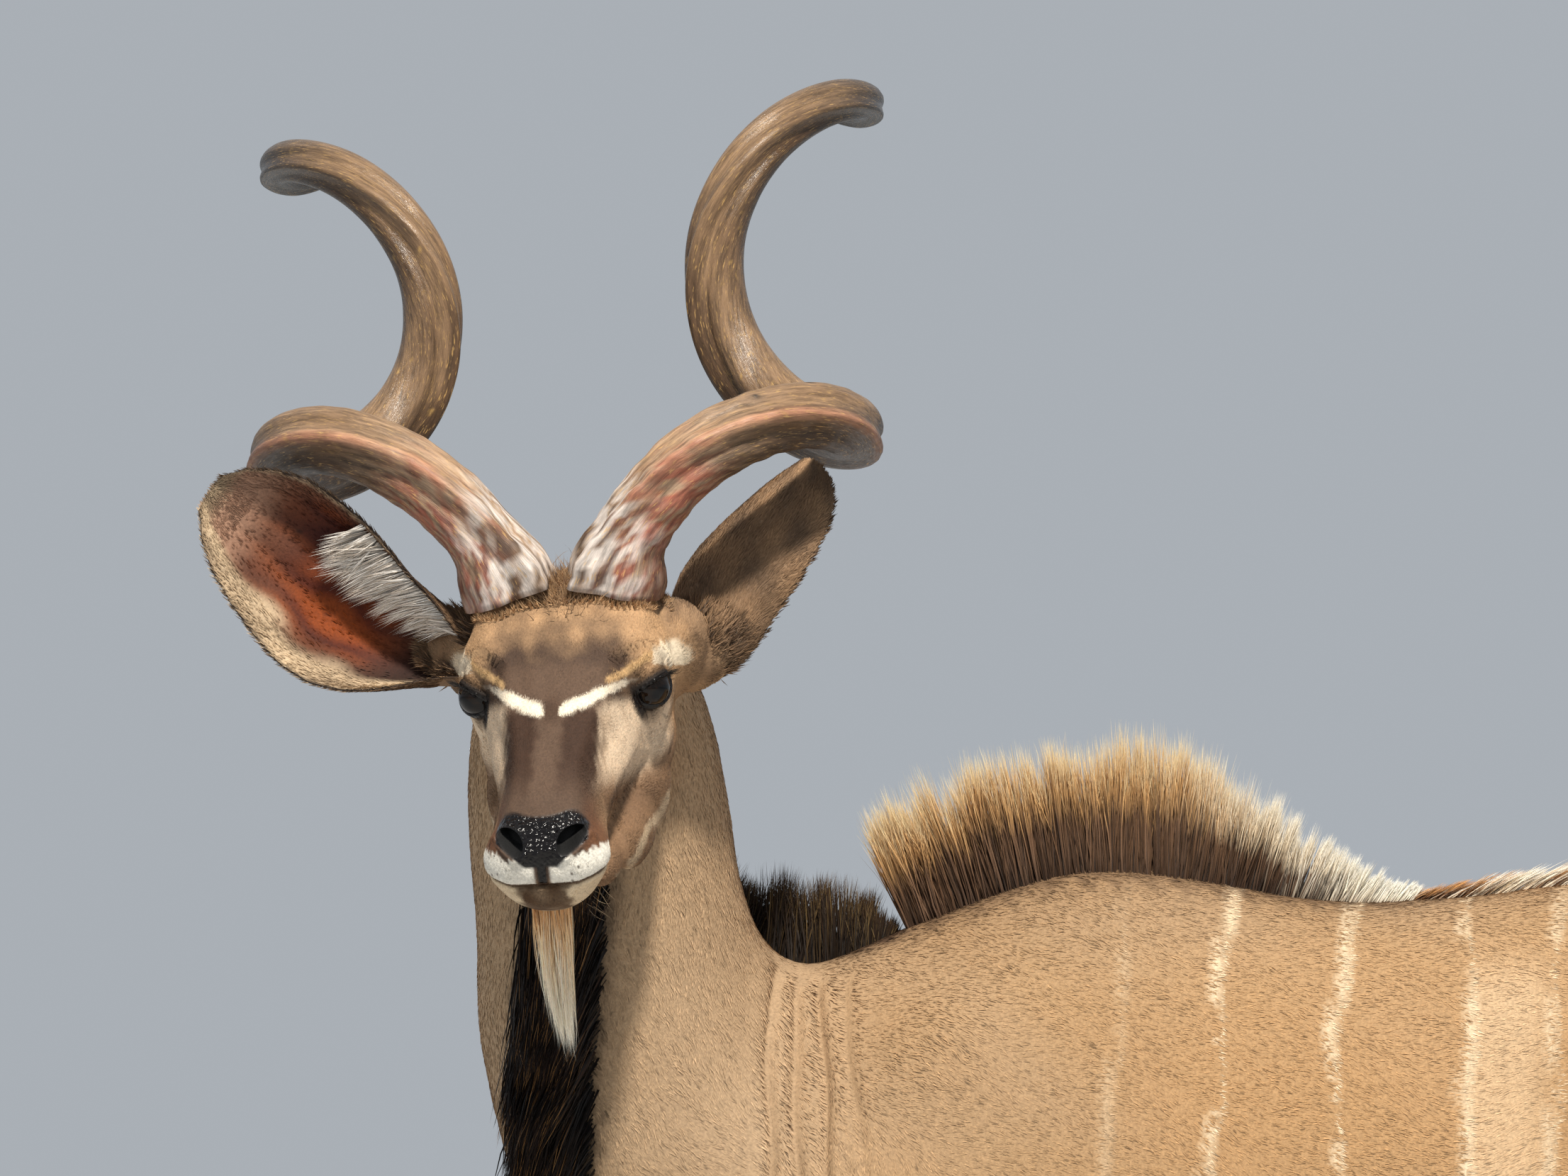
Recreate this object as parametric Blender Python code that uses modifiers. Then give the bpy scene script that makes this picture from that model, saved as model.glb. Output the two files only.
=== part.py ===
"""A life-size greater kudu bull that stands square and looks over its left shoulder.

The animal faces -Y, its left side is +X and Z points up. Sizes are in metres. The anatomy is laid out with the
top of the withers over y = 0 and the middle of the body in the plane x = 0; the last step moves everything so
that the origin is on the floor under the middle of the whole box.

The flesh is lofted limb by limb, fused by a voxel remesh, smoothed and thinned out, and then parted with thin
cuts into named pieces. Horns, eyes, hooves and the long hair are pieces of their own that stand on it.
"""

import math

import bmesh
import bpy
from mathutils import Matrix, Vector

# ---------------------------------------------------------------- driving sizes
WITHERS_HEIGHT = 1.40
EYE_MIDDLE = Vector((0.35, -0.426, 1.55))  # halfway between the two eyeballs
HEAD_YAW = math.radians(-2.5)  # 0 looks along +X, square to the body
HEAD_PITCH = math.radians(30)  # how far the nose points below the horizon
HEAD_ROLL = math.radians(3.0)  # the animal's left side is the higher one
CROWN_ROLL = math.radians(3.5)  # the same for the horns and ears

EYE_RADIUS = 0.0205
EYE_SPREAD = 0.0735  # from the middle of the head to the centre of an eyeball
EYE_FORWARD, EYE_UP = 0.012, 0.005
HORN_AXIS_TILT = math.radians(38)  # rise of a horn's own axis above the horizon
HORN_AXIS = (-0.188, 0.188, 0.2095)  # ahead, outward and up from the eyes, where the first curl is outermost
HORN_RISE = 0.42  # along the axis, for each full turn
HORN_START, HORN_END = -0.99 * math.pi, 2.5 * math.pi  # turn angles, 0 where the first curl is outermost

PART_GAP = 0.0004  # the thin cut between two pieces of flesh
HAIR_GAP = 0.0012  # between the flesh and what stands on it
VOXEL = 0.008
FLESH_TRIANGLES = 2750
COLLECTION = "greater_kudu_bull"

COAT_FAWN = (0.42, 0.27, 0.15)
HAIR_DARK = (0.05, 0.033, 0.022)
HAIR_PALE = (0.62, 0.52, 0.38)
HORN_BROWN = (0.26, 0.19, 0.12)
HOOF_BLACK = (0.035, 0.03, 0.027)
EYE_DARK = (0.02, 0.012, 0.008)


# ---------------------------------------------------------------- scene, collections and materials
def clear_scene():
    for old in list(bpy.data.objects):
        bpy.data.objects.remove(old)


def new_collection(name):
    made = bpy.data.collections.new(name)
    bpy.context.scene.collection.children.link(made)
    return made


def material(name, colour, roughness):
    made = bpy.data.materials.new(name)
    made.use_nodes = True
    shader = made.node_tree.nodes["Principled BSDF"]
    shader.inputs["Base Color"].default_value = (*colour, 1)
    shader.inputs["Roughness"].default_value = roughness
    shader.inputs["Metallic"].default_value = 0
    return made


# ---------------------------------------------------------------- frames of reference
HEAD_TURN = (Matrix.Rotation(HEAD_YAW, 3, "Z") @ Matrix.Rotation(HEAD_ROLL, 3, "X")
             @ Matrix.Rotation(HEAD_PITCH, 3, "Y"))
CROWN = Matrix.Rotation(CROWN_ROLL, 3, "X")


def on_head(forward, left, up):
    """A point given along the face, towards the animal's left, and up out of its forehead."""
    return EYE_MIDDLE + HEAD_TURN @ Vector((forward, left, up))


def round_head(ahead, left, up):
    """A point given in the crown's own frame, as the horns and ears use it: ahead stays level."""
    return EYE_MIDDLE + CROWN @ Vector((ahead, left, up))


# ---------------------------------------------------------------- curves through stations
def between(rows, place):
    """The row at a place from 0 to 1 on a smooth (Catmull-Rom) curve through the rows."""
    spans = len(rows) - 1
    at = min(max(place, 0.0), 1.0) * spans
    i = min(int(at), spans - 1)
    t = at - i
    ring = [rows[min(max(i + k, 0), spans)] for k in (-1, 0, 1, 2)]
    return [
        0.5 * (2 * b + (c - a) * t + (2 * a - 5 * b + 4 * c - d) * t**2 + (3 * b - a - 3 * c + d) * t**3)
        for a, b, c, d in zip(*ring, strict=True)
    ]


def stations(rows, per_span):
    """The rows with more rows between them, per_span to each gap."""
    count = (len(rows) - 1) * per_span
    return [between(rows, i / count) for i in range(count + 1)]


# ---------------------------------------------------------------- meshes
def mesh_object(name, mesh, collection, finish=None):
    made = bpy.data.objects.new(name, mesh)
    collection.objects.link(made)
    if finish:
        mesh.materials.clear()
        mesh.materials.append(finish)
    return made


def loft(name, rings, collection, finish=None):
    """A closed body through rings of the same number of points, with a fan over each end."""
    shape = bmesh.new()
    loops = [[shape.verts.new(point) for point in ring] for ring in rings]
    for low, high in zip(loops, loops[1:]):
        for i in range(len(low)):
            j = (i + 1) % len(low)
            shape.faces.new((low[i], low[j], high[j], high[i]))
    for loop in (loops[0], loops[-1]):
        middle = shape.verts.new(sum((v.co for v in loop), Vector()) / len(loop))
        for i in range(len(loop)):
            shape.faces.new((loop[i], loop[(i + 1) % len(loop)], middle))
    bmesh.ops.recalc_face_normals(shape, faces=shape.faces)
    mesh = bpy.data.meshes.new(name)
    shape.to_mesh(mesh)
    shape.free()
    return mesh_object(name, mesh, collection, finish)


def oval(centre, across, up, half_width, rise, drop, ridge=2.0, keel=2.0, sides=20):
    """A ring: an ellipse whose upper and lower halves have their own heights and sharpness (2 is round)."""
    points = []
    for i in range(sides):
        angle = math.tau * i / sides
        side, height = math.cos(angle), math.sin(angle)
        sharpness = ridge if height > 0 else keel
        reach = rise if height > 0 else drop
        points.append(
            centre
            + across * half_width * math.copysign(abs(side) ** (2 / sharpness), side)
            + up * reach * math.copysign(abs(height) ** (2 / sharpness), height)
        )
    return points


def evaluated(obj):
    """A new mesh with the object's modifiers applied, in world space."""
    bpy.context.view_layer.update()
    mesh = bpy.data.meshes.new_from_object(obj.evaluated_get(bpy.context.evaluated_depsgraph_get()))
    mesh.transform(obj.matrix_world)
    return mesh


def boolean(obj, cutter, operation):
    modifier = obj.modifiers.new(operation.lower(), "BOOLEAN")
    modifier.operation = operation
    modifier.object = cutter
    modifier.solver = "EXACT"


def as_helper(obj):
    obj.hide_render = True
    obj.display_type = "WIRE"
    return obj


def grown(obj, name, by, collection):
    """A helper of the object's shape, larger by the given gap all round."""
    made = as_helper(mesh_object(name, evaluated(obj), collection))
    swell = made.modifiers.new("swell", "DISPLACE")
    swell.strength = by
    swell.mid_level = 0
    return made


# ---------------------------------------------------------------- trunk
# y, top, bottom, height of the widest place, half-width, sharpness of the back's ridge
TRUNK = (
    (-0.475, 1.09, 0.955, 1.03, 0.050, 2.0),
    (-0.43, 1.17, 0.895, 1.04, 0.100, 2.0),
    (-0.34, 1.26, 0.845, 1.04, 0.145, 1.9),
    (-0.22, 1.312, 0.812, 1.04, 0.172, 1.7),
    (-0.11, 1.362, 0.795, 1.04, 0.188, 1.5),
    (0.00, 1.400, 0.785, 1.04, 0.199, 1.4),
    (0.11, 1.388, 0.776, 1.03, 0.212, 1.5),
    (0.22, 1.364, 0.772, 1.02, 0.223, 1.75),
    (0.34, 1.366, 0.785, 1.03, 0.226, 1.9),
    (0.46, 1.382, 0.825, 1.05, 0.214, 1.8),
    (0.57, 1.388, 0.880, 1.08, 0.196, 1.75),
    (0.67, 1.362, 0.940, 1.10, 0.172, 1.85),
    (0.75, 1.300, 0.990, 1.12, 0.132, 2.0),
    (0.80, 1.225, 1.040, 1.13, 0.080, 2.0),
)


def trunk():
    rings = []
    for y, top, bottom, widest, half_width, ridge in stations(TRUNK, 2):
        rings.append(
            oval(Vector((0, y, widest)), Vector((1, 0, 0)), Vector((0, 0, 1)), half_width, top - widest,
                 widest - bottom, ridge, 2.1, 36)
        )
    return rings


# ---------------------------------------------------------------- neck
# centre x, y, z, turn of the throat away from -Y in degrees, half-depth, half-width
NECK = (
    (0.000, -0.160, 1.03, 6, 0.235, 0.150),
    (0.025, -0.325, 1.14, 36, 0.205, 0.140),
    (0.055, -0.393, 1.25, 60, 0.169, 0.133),
    (0.085, -0.411, 1.35, 74, 0.144, 0.121),
    (0.112, -0.420, 1.44, 82, 0.130, 0.118),
    (0.140, -0.424, 1.51, 87, 0.116, 0.110),
    (0.185, -0.427, 1.562, 90, 0.092, 0.092),
    (0.250, -0.426, 1.580, 90, 0.072, 0.074),
)


def neck():
    rows = stations(NECK, 3)
    places = [Vector(row[:3]) for row in rows]
    rings = []
    for i, row in enumerate(rows):
        along = (places[min(i + 1, len(rows) - 1)] - places[max(i - 1, 0)]).normalized()
        turn, depth, half_width = math.radians(row[3]), row[4], row[5]
        throat = Vector((math.sin(turn), -math.cos(turn), 0))
        throat = (throat - along * throat.dot(along)).normalized()
        rings.append(oval(places[i], along.cross(throat), -throat, half_width, depth, depth, 1.8, 2.0, 28))
    return rings


# ---------------------------------------------------------------- head
# forward, top, then half-width and height of the brow, cheek and jaw, and the bottom
HEAD = (
    (-0.150, 0.024, 0.040, 0.016, 0.056, -0.020, 0.046, -0.070, -0.090),
    (-0.112, 0.053, 0.054, 0.041, 0.077, -0.015, 0.062, -0.092, -0.118),
    (-0.070, 0.074, 0.066, 0.060, 0.090, -0.012, 0.070, -0.106, -0.136),
    (-0.030, 0.074, 0.076, 0.058, 0.093, -0.012, 0.066, -0.104, -0.134),
    (0.008, 0.063, 0.074, 0.046, 0.088, -0.020, 0.056, -0.097, -0.127),
    (0.045, 0.050, 0.056, 0.035, 0.069, -0.028, 0.046, -0.089, -0.117),
    (0.085, 0.039, 0.045, 0.026, 0.060, -0.029, 0.038, -0.082, -0.107),
    (0.125, 0.030, 0.036, 0.019, 0.052, -0.030, 0.036, -0.080, -0.104),
    (0.165, 0.022, 0.032, 0.012, 0.048, -0.031, 0.036, -0.078, -0.103),
    (0.200, 0.015, 0.034, 0.004, 0.053, -0.036, 0.040, -0.076, -0.101),
    (0.228, 0.008, 0.037, -0.004, 0.056, -0.038, 0.041, -0.071, -0.093),
    (0.248, 0.001, 0.036, -0.011, 0.050, -0.038, 0.036, -0.064, -0.080),
    (0.264, -0.013, 0.024, -0.020, 0.033, -0.037, 0.024, -0.056, -0.066),
)
HEAD_SIDES = 32


def head():
    rings = []
    for row in stations(HEAD, 2):
        forward, top, brow, brow_up, cheek, cheek_up, jaw, jaw_up, bottom = row
        right_half = (
            (0, top), (0.55 * brow, 0.25 * brow_up + 0.75 * top), (brow, brow_up), (cheek, cheek_up),
            (jaw, jaw_up), (0.5 * jaw, 0.2 * jaw_up + 0.8 * bottom), (0, bottom),
        )
        left_half = tuple((-x, u) for x, u in reversed(right_half[:-1]))
        outline = right_half + left_half
        rings.append([on_head(forward, *between(outline, i / HEAD_SIDES)) for i in range(HEAD_SIDES)])
    return rings


# ---------------------------------------------------------------- legs, as seen on the animal's left
# x, y, z, half-width across, half-depth front to back
FORELEG = (
    (0.105, -0.13, 1.20, 0.050, 0.085),
    (0.130, -0.17, 1.08, 0.064, 0.125),
    (0.142, -0.19, 0.95, 0.066, 0.130),
    (0.146, -0.165, 0.84, 0.058, 0.098),
    (0.142, -0.150, 0.74, 0.049, 0.070),
    (0.136, -0.148, 0.62, 0.040, 0.052),
    (0.130, -0.152, 0.52, 0.032, 0.039),
    (0.128, -0.158, 0.455, 0.034, 0.038),
    (0.126, -0.152, 0.40, 0.029, 0.032),
    (0.125, -0.150, 0.33, 0.0225, 0.027),
    (0.124, -0.150, 0.24, 0.0215, 0.026),
    (0.124, -0.150, 0.18, 0.026, 0.031),
    (0.124, -0.154, 0.145, 0.030, 0.035),
    (0.124, -0.166, 0.105, 0.028, 0.029),
    (0.124, -0.182, 0.070, 0.034, 0.034),
    (0.124, -0.192, 0.046, 0.034, 0.035),
    (0.124, -0.196, 0.020, 0.034, 0.035),
)
HIND_LEG = (
    (0.095, 0.60, 1.26, 0.050, 0.110),
    (0.112, 0.60, 1.13, 0.074, 0.165),
    (0.128, 0.58, 1.00, 0.080, 0.175),
    (0.137, 0.565, 0.88, 0.070, 0.145),
    (0.137, 0.590, 0.77, 0.055, 0.105),
    (0.134, 0.635, 0.67, 0.042, 0.072),
    (0.132, 0.682, 0.585, 0.031, 0.050),
    (0.131, 0.705, 0.525, 0.033, 0.046),
    (0.130, 0.703, 0.46, 0.029, 0.036),
    (0.129, 0.696, 0.38, 0.0235, 0.029),
    (0.128, 0.692, 0.27, 0.0225, 0.028),
    (0.128, 0.690, 0.19, 0.027, 0.032),
    (0.128, 0.686, 0.150, 0.031, 0.036),
    (0.128, 0.672, 0.108, 0.028, 0.030),
    (0.128, 0.655, 0.072, 0.034, 0.034),
    (0.128, 0.645, 0.046, 0.034, 0.035),
    (0.128, 0.641, 0.020, 0.034, 0.035),
)
# the cord of tendon behind the hind leg, down to the point of the hock: x, y, z, radius
HAMSTRING = ((0.134, 0.665, 0.76, 0.024), (0.132, 0.715, 0.66, 0.015), (0.131, 0.748, 0.583, 0.019),
             (0.131, 0.738, 0.53, 0.020))
SHOULDER_HEIGHT = 0.95  # above this the legs don't swing with the stance
STEP_FORWARD = {"foreleg_left": 0.035, "foreleg_right": -0.045, "hind_leg_left": -0.03, "hind_leg_right": 0.06}


def stance(leg, x, y, z):
    """The left leg's place turned into this leg's: mirrored for the right, and swung by its step."""
    side = 1 if leg.endswith("left") else -1
    swing = max(0.0, (SHOULDER_HEIGHT - z) / SHOULDER_HEIGHT)
    return Vector((side * x, y - STEP_FORWARD[leg] * swing, z))


def limb(leg, rows, sides, per_span=2):
    rings = []
    for x, y, z, half_width, half_depth in stations(rows, per_span):
        rings.append(
            oval(stance(leg, x, y, z), Vector((1, 0, 0)), Vector((0, 1, 0)), half_width, half_depth, half_depth,
                 sides=sides)
        )
    return rings


def hamstring(leg):
    rows = [(x, y, z, radius, radius) for x, y, z, radius in HAMSTRING]
    return limb(leg, rows, 12)


# ---------------------------------------------------------------- tail
# x, y, z, half-width, half-depth: it hangs a little away from the rump
TAIL = (
    (0.0, 0.760, 1.285, 0.034, 0.030),
    (0.0, 0.815, 1.250, 0.030, 0.026),
    (0.0, 0.850, 1.175, 0.026, 0.021),
    (0.0, 0.860, 1.08, 0.029, 0.022),
    (0.0, 0.860, 0.98, 0.032, 0.024),
    (0.0, 0.857, 0.90, 0.034, 0.026),
    (0.0, 0.854, 0.83, 0.031, 0.025),
    (0.0, 0.852, 0.76, 0.018, 0.016),
)


def tail():
    rows = stations(TAIL, 2)
    rings = []
    for i, (x, y, z, half_width, half_depth) in enumerate(rows):
        before, after = rows[max(i - 1, 0)], rows[min(i + 1, len(rows) - 1)]
        along = (Vector(after[:3]) - Vector(before[:3])).normalized()
        across = Vector((1, 0, 0))
        rings.append(oval(Vector((x, y, z)), across, along.cross(across), half_width, half_depth, half_depth,
                          sides=14))
    return rings


# ---------------------------------------------------------------- muscles that stand out
# middle, half-sizes, and the tilt about X in degrees; x is mirrored for the right side
MUSCLES = (
    ((0.110, -0.150, 1.12), (0.056, 0.090, 0.170), -22),  # shoulder blade
    ((0.150, -0.235, 0.985), (0.052, 0.115, 0.095), 20),  # upper arm
    ((0.135, 0.560, 1.170), (0.060, 0.130, 0.130), 0),  # rump
    ((0.118, 0.690, 1.030), (0.058, 0.085, 0.150), 12),  # back of the thigh
    ((0.152, 0.470, 0.925), (0.040, 0.070, 0.085), 30),  # stifle
)


# on the head: forward, left and up of the middle, and the half-sizes the same way
HEAD_MUSCLES = (
    ((-0.005, 0.070, 0.007), (0.037, 0.027, 0.031)),  # rim of the eye socket
    ((-0.078, 0.086, -0.006), (0.043, 0.036, 0.045)),  # root of the ear
    ((-0.030, 0.058, -0.062), (0.062, 0.030, 0.052)),  # cheek
)


def muscle(name, place, collection):
    """A ball drawn out and placed by a matrix."""
    shape = bmesh.new()
    bmesh.ops.create_uvsphere(shape, u_segments=20, v_segments=12, radius=1)
    shape.transform(place)
    mesh = bpy.data.meshes.new(name)
    shape.to_mesh(mesh)
    shape.free()
    return mesh_object(name, mesh, collection)


# ---------------------------------------------------------------- the fused flesh
def fused_flesh(helpers):
    """One thin-faced mesh of the whole body without ears, horns and hooves."""
    pieces = [loft("f_trunk", trunk(), helpers), loft("f_neck", neck(), helpers), loft("f_head", head(), helpers),
              loft("f_tail", tail(), helpers)]
    for leg in STEP_FORWARD:
        pieces.append(loft("f_" + leg, limb(leg, HIND_LEG if "hind" in leg else FORELEG, 20), helpers))
        if "hind" in leg:
            pieces.append(loft("f_tendon_" + leg, hamstring(leg), helpers))
    for side in (1, -1):
        for (x, y, z), half_sizes, tilt in MUSCLES:
            place = (Matrix.Translation((side * x, y, z)) @ Matrix.Rotation(math.radians(tilt), 4, "X")
                     @ Matrix.Diagonal((*half_sizes, 1)))
            pieces.append(muscle("f_muscle", place, helpers))
        for (forward, left, up), half_sizes in HEAD_MUSCLES:
            place = (Matrix.Translation(on_head(forward, side * left, up)) @ HEAD_TURN.to_4x4()
                     @ Matrix.Diagonal((*half_sizes, 1)))
            pieces.append(muscle("f_head_muscle", place, helpers))
    joined = bmesh.new()
    for piece in pieces:
        joined.from_mesh(piece.data)
        bpy.data.objects.remove(piece)
    mesh = bpy.data.meshes.new("flesh")
    joined.to_mesh(mesh)
    joined.free()
    fine = as_helper(mesh_object("flesh_fine", mesh, helpers))
    fuse = fine.modifiers.new("fuse", "REMESH")
    fuse.mode = "VOXEL"
    fuse.voxel_size = VOXEL
    soften = fine.modifiers.new("soften", "SMOOTH")
    soften.factor = 0.5
    soften.iterations = 8
    flesh = as_helper(mesh_object("flesh", evaluated(fine), helpers))
    bpy.data.objects.remove(fine)
    thin = flesh.modifiers.new("thin", "DECIMATE")
    thin.ratio = FLESH_TRIANGLES / sum(len(face.vertices) - 2 for face in flesh.data.polygons)
    coarse = evaluated(flesh)
    bpy.data.objects.remove(flesh)
    return as_helper(mesh_object("flesh", coarse, helpers))


# ---------------------------------------------------------------- cutting the flesh into pieces
def block(name, outline, low, high, axis, grow, collection):
    """A cutter: an outline of points, drawn out between two values of x, y or z. grow widens it all round."""
    middle = sum((Vector(p) for p in outline), Vector((0, 0))) / len(outline)
    rings = []
    for level in (low - grow, high + grow):
        ring = []
        for p in outline:
            away = Vector(p) - middle
            a, b = middle + away * (1 + grow / away.length)
            ring.append(Vector({"x": (level, a, b), "y": (a, level, b), "z": (a, b, level)}[axis]))
        rings.append(ring)
    return as_helper(loft(name, rings, collection))


def largest_piece(mesh):
    """The same mesh without any crumb that is not joined to its largest piece."""
    shape = bmesh.new()
    shape.from_mesh(mesh)
    bmesh.ops.remove_doubles(shape, verts=shape.verts, dist=1e-6)
    unseen, pieces = set(shape.verts), []
    while unseen:
        stack, piece = [unseen.pop()], set()
        while stack:
            vertex = stack.pop()
            piece.add(vertex)
            for edge in vertex.link_edges:
                other = edge.other_vert(vertex)
                if other in unseen:
                    unseen.discard(other)
                    stack.append(other)
        pieces.append(piece)
    pieces.sort(key=len)
    for piece in pieces[:-1]:
        bmesh.ops.delete(shape, geom=list(piece), context="VERTS")
    shape.to_mesh(mesh)
    shape.free()
    return mesh


def settle(obj):
    """Applies the object's modifiers to its mesh and drops crumbs."""
    mesh = largest_piece(evaluated(obj))
    obj.modifiers.clear()
    obj.data = mesh


def carve(obj, cutters):
    for cutter in cutters:
        boolean(obj, cutter, "DIFFERENCE")
        settle(obj)


def cut_out(name, source, cutter, grown_cutter, pieces, finish):
    """The part of source inside the cutter as a new piece; source loses the slightly larger cutter."""
    piece = mesh_object(name, source.data.copy(), pieces, finish)
    boolean(piece, cutter, "INTERSECT")
    settle(piece)
    piece.data.materials.clear()
    piece.data.materials.append(finish)
    boolean(source, grown_cutter, "DIFFERENCE")
    settle(source)
    for helper in (cutter, grown_cutter):
        bpy.data.objects.remove(helper)
    return piece


def arch(y, z_low, z_spring, z_top, half, sides=12):
    """A doorway outline in y and z: square below, round above."""
    top = [(y + half * math.cos(math.pi * i / sides), z_spring + (z_top - z_spring) * math.sin(math.pi * i / sides))
           for i in range(sides + 1)]
    return [(y - half, z_low), (y + half, z_low), *top]


HEAD_OUTLINE = ((0.70, 1.18), (0.70, 1.78), (0.238, 1.78), (0.238, 1.66), (0.205, 1.58), (0.200, 1.47),
                (0.262, 1.425), (0.37, 1.345), (0.44, 1.18))  # x and z
NECK_CUT = ((0.00, -0.285, 1.235), (0.16, -0.70, 0.70))  # a point and the direction of the neck's side
TAIL_CUT_Y = 0.797
LEG_CUTS = {  # inner x; middle y, foot of the arch, its spring, its top and half-width; wrist or hock height
    "foreleg": (0.082, (-0.178, 0.30, 0.93, 1.200, 0.160), 0.455),
    "hind_leg": (0.070, (0.590, 0.36, 0.97, 1.265, 0.205), 0.530),
}


def wedge_side(point, normal, thickness, reach, grow, name, collection):
    """A cutter on the normal's side of a plane: a square slab."""
    normal = Vector(normal).normalized()
    side = normal.orthogonal().normalized()
    other = normal.cross(side)
    rings = [
        [Vector(point) + normal * depth + (side * a + other * b) * (reach + grow)
         for a, b in ((1, 1), (-1, 1), (-1, -1), (1, -1))]
        for depth in (-grow, thickness + grow)
    ]
    return as_helper(loft(name, rings, collection))


def part_the_flesh(flesh, pieces, helpers, coat):
    """Cuts the fused flesh into head, neck, tail, legs and trunk."""
    outline = [Vector(p) for p in HEAD_OUTLINE]
    cut_out("head", flesh, block("cut", outline, -0.75, -0.10, "y", 0, helpers),
            block("gap", outline, -0.75, -0.10, "y", PART_GAP, helpers), pieces, coat)
    point, normal = NECK_CUT
    cut_out("neck", flesh, wedge_side(point, normal, 0.8, 0.5, 0, "cut", helpers),
            wedge_side(point, normal, 0.8, 0.5, PART_GAP, "gap", helpers), pieces, coat)
    square = ((-0.2, 0.6), (0.2, 0.6), (0.2, 1.4), (-0.2, 1.4))
    square = [(x, z) for x, z in square]
    cut_out("tail", flesh, block("cut", square, TAIL_CUT_Y, 1.0, "y", 0, helpers),
            block("gap", square, TAIL_CUT_Y, 1.0, "y", PART_GAP, helpers), pieces, coat)
    for leg in STEP_FORWARD:
        side = 1 if leg.endswith("left") else -1
        inner, doorway, wrist = LEG_CUTS[leg.rsplit("_", 1)[0]]
        low, high = sorted((side * inner, side * 0.34))
        middle = doorway[0]
        below = [(side * x, y) for x, y in ((0.02, middle - 0.32), (0.34, middle - 0.32), (0.34, middle + 0.32),
                                            (0.02, middle + 0.32))]
        cut_out(leg + "_lower", flesh, block("cut", below, -0.2, wrist, "z", 0, helpers),
                block("gap", below, -0.2, wrist, "z", PART_GAP, helpers), pieces, coat)
        cut_out(leg + "_upper", flesh, block("cut", arch(*doorway), low, high, "x", 0, helpers),
                block("gap", arch(*doorway), low, high, "x", PART_GAP, helpers), pieces, coat)
    flesh.data.materials.clear()
    mesh_object("trunk", flesh.data, pieces, coat)
    bpy.data.objects.remove(flesh)


# ---------------------------------------------------------------- hooves
CLAW_OFFSET = 0.0196
CLAW_ROWS = (  # height as a share of the coronet's, half-width, reach to the toe, reach to the heel
    (0.00, 0.0183, 0.055, 0.037),
    (0.50, 0.0182, 0.047, 0.037),
    (1.00, 0.0170, 0.035, 0.034),
)


def hoof_place(leg):
    """The middle of a foot on the floor."""
    x, y = (0.124, -0.196) if "fore" in leg else (0.128, 0.641)
    return stance(leg, x, y, 0.02)


def coronet(y_from_middle):
    """The height of the hair's edge over the hoof: high at the toe and low at the heel."""
    return 0.052 - 0.26 * y_from_middle


def claw(name, leg, offset, pieces, finish):
    foot = hoof_place(leg)
    rings = []
    for share, half_width, toe, heel in CLAW_ROWS:
        ring = []
        for i in range(10):
            angle = math.tau * i / 10
            side, ahead = math.cos(angle), math.sin(angle)
            reach = -toe * ahead if ahead > 0 else -heel * ahead
            narrow = 1 - 0.30 * max(0.0, ahead) ** 2
            # The two toes lean together, and the inner wall of each claw is the flatter one.
            lean = -0.30 * offset * max(0.0, ahead) ** 2
            y = reach
            ring.append(Vector((foot.x + offset + lean + half_width * side * narrow, foot.y + y,
                                share * (coronet(y) - PART_GAP))))
        rings.append(ring)
    return loft(name, rings, pieces, finish)


def foot_cutters(helpers):
    """What ends each leg at the coronets."""
    cutters = []
    for leg in STEP_FORWARD:
        foot = hoof_place(leg)
        outline = [(foot.y - 0.12, -0.05), (foot.y - 0.12, coronet(-0.12)), (foot.y + 0.12, coronet(0.12)),
                   (foot.y + 0.12, -0.05)]
        low, high = sorted((foot.x - 0.09, foot.x + 0.09))
        cutters.append(block("foot_cut", outline, low, high, "x", 0, helpers))
    return cutters


# ---------------------------------------------------------------- horns
# turn in half circles, radius of the curl, half-thickness of the horn, extra height
HORN = (
    (-0.99, 0.138, 0.0370, 0.000), (-0.89, 0.129, 0.0365, 0.000), (-0.80, 0.119, 0.0358, 0.001),
    (-0.70, 0.111, 0.0352, 0.003), (-0.50, 0.096, 0.0340, 0.005), (-0.33, 0.085, 0.0328, 0.005),
    (-0.15, 0.071, 0.0315, 0.005), (0.00, 0.0655, 0.0305, 0.005), (0.25, 0.064, 0.0297, 0.006),
    (0.50, 0.064, 0.0295, 0.008), (0.75, 0.065, 0.0293, 0.010), (1.00, 0.066, 0.0290, 0.012),
    (1.25, 0.068, 0.0272, 0.015), (1.50, 0.070, 0.0245, 0.021), (1.75, 0.071, 0.0212, 0.026),
    (2.00, 0.070, 0.0174, 0.030), (2.20, 0.068, 0.0130, 0.028), (2.36, 0.066, 0.0085, 0.028),
    (2.50, 0.064, 0.0020, 0.028),
)
HORN_SIDES = 9
HORN_RINGS = 33
KEEL_ANGLE = math.radians(48)  # between the outside of the curl and the sharp ridge, towards the horn's base
# The two horns aren't quite a pair: the right one leans out further and climbs less.
HORN_LEAN = 0.0028
HORN_UNEVEN = 0.0066


def horn_table(turn):
    """The curl's radius, the horn's half-thickness and the extra height at a turn angle."""
    halves = turn / math.pi
    for low, high in zip(HORN, HORN[1:]):
        if halves <= high[0]:
            share = (halves - low[0]) / (high[0] - low[0])
            return [a + share * (b - a) for a, b in zip(low[1:], high[1:], strict=True)]
    return HORN[-1][1:]


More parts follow.
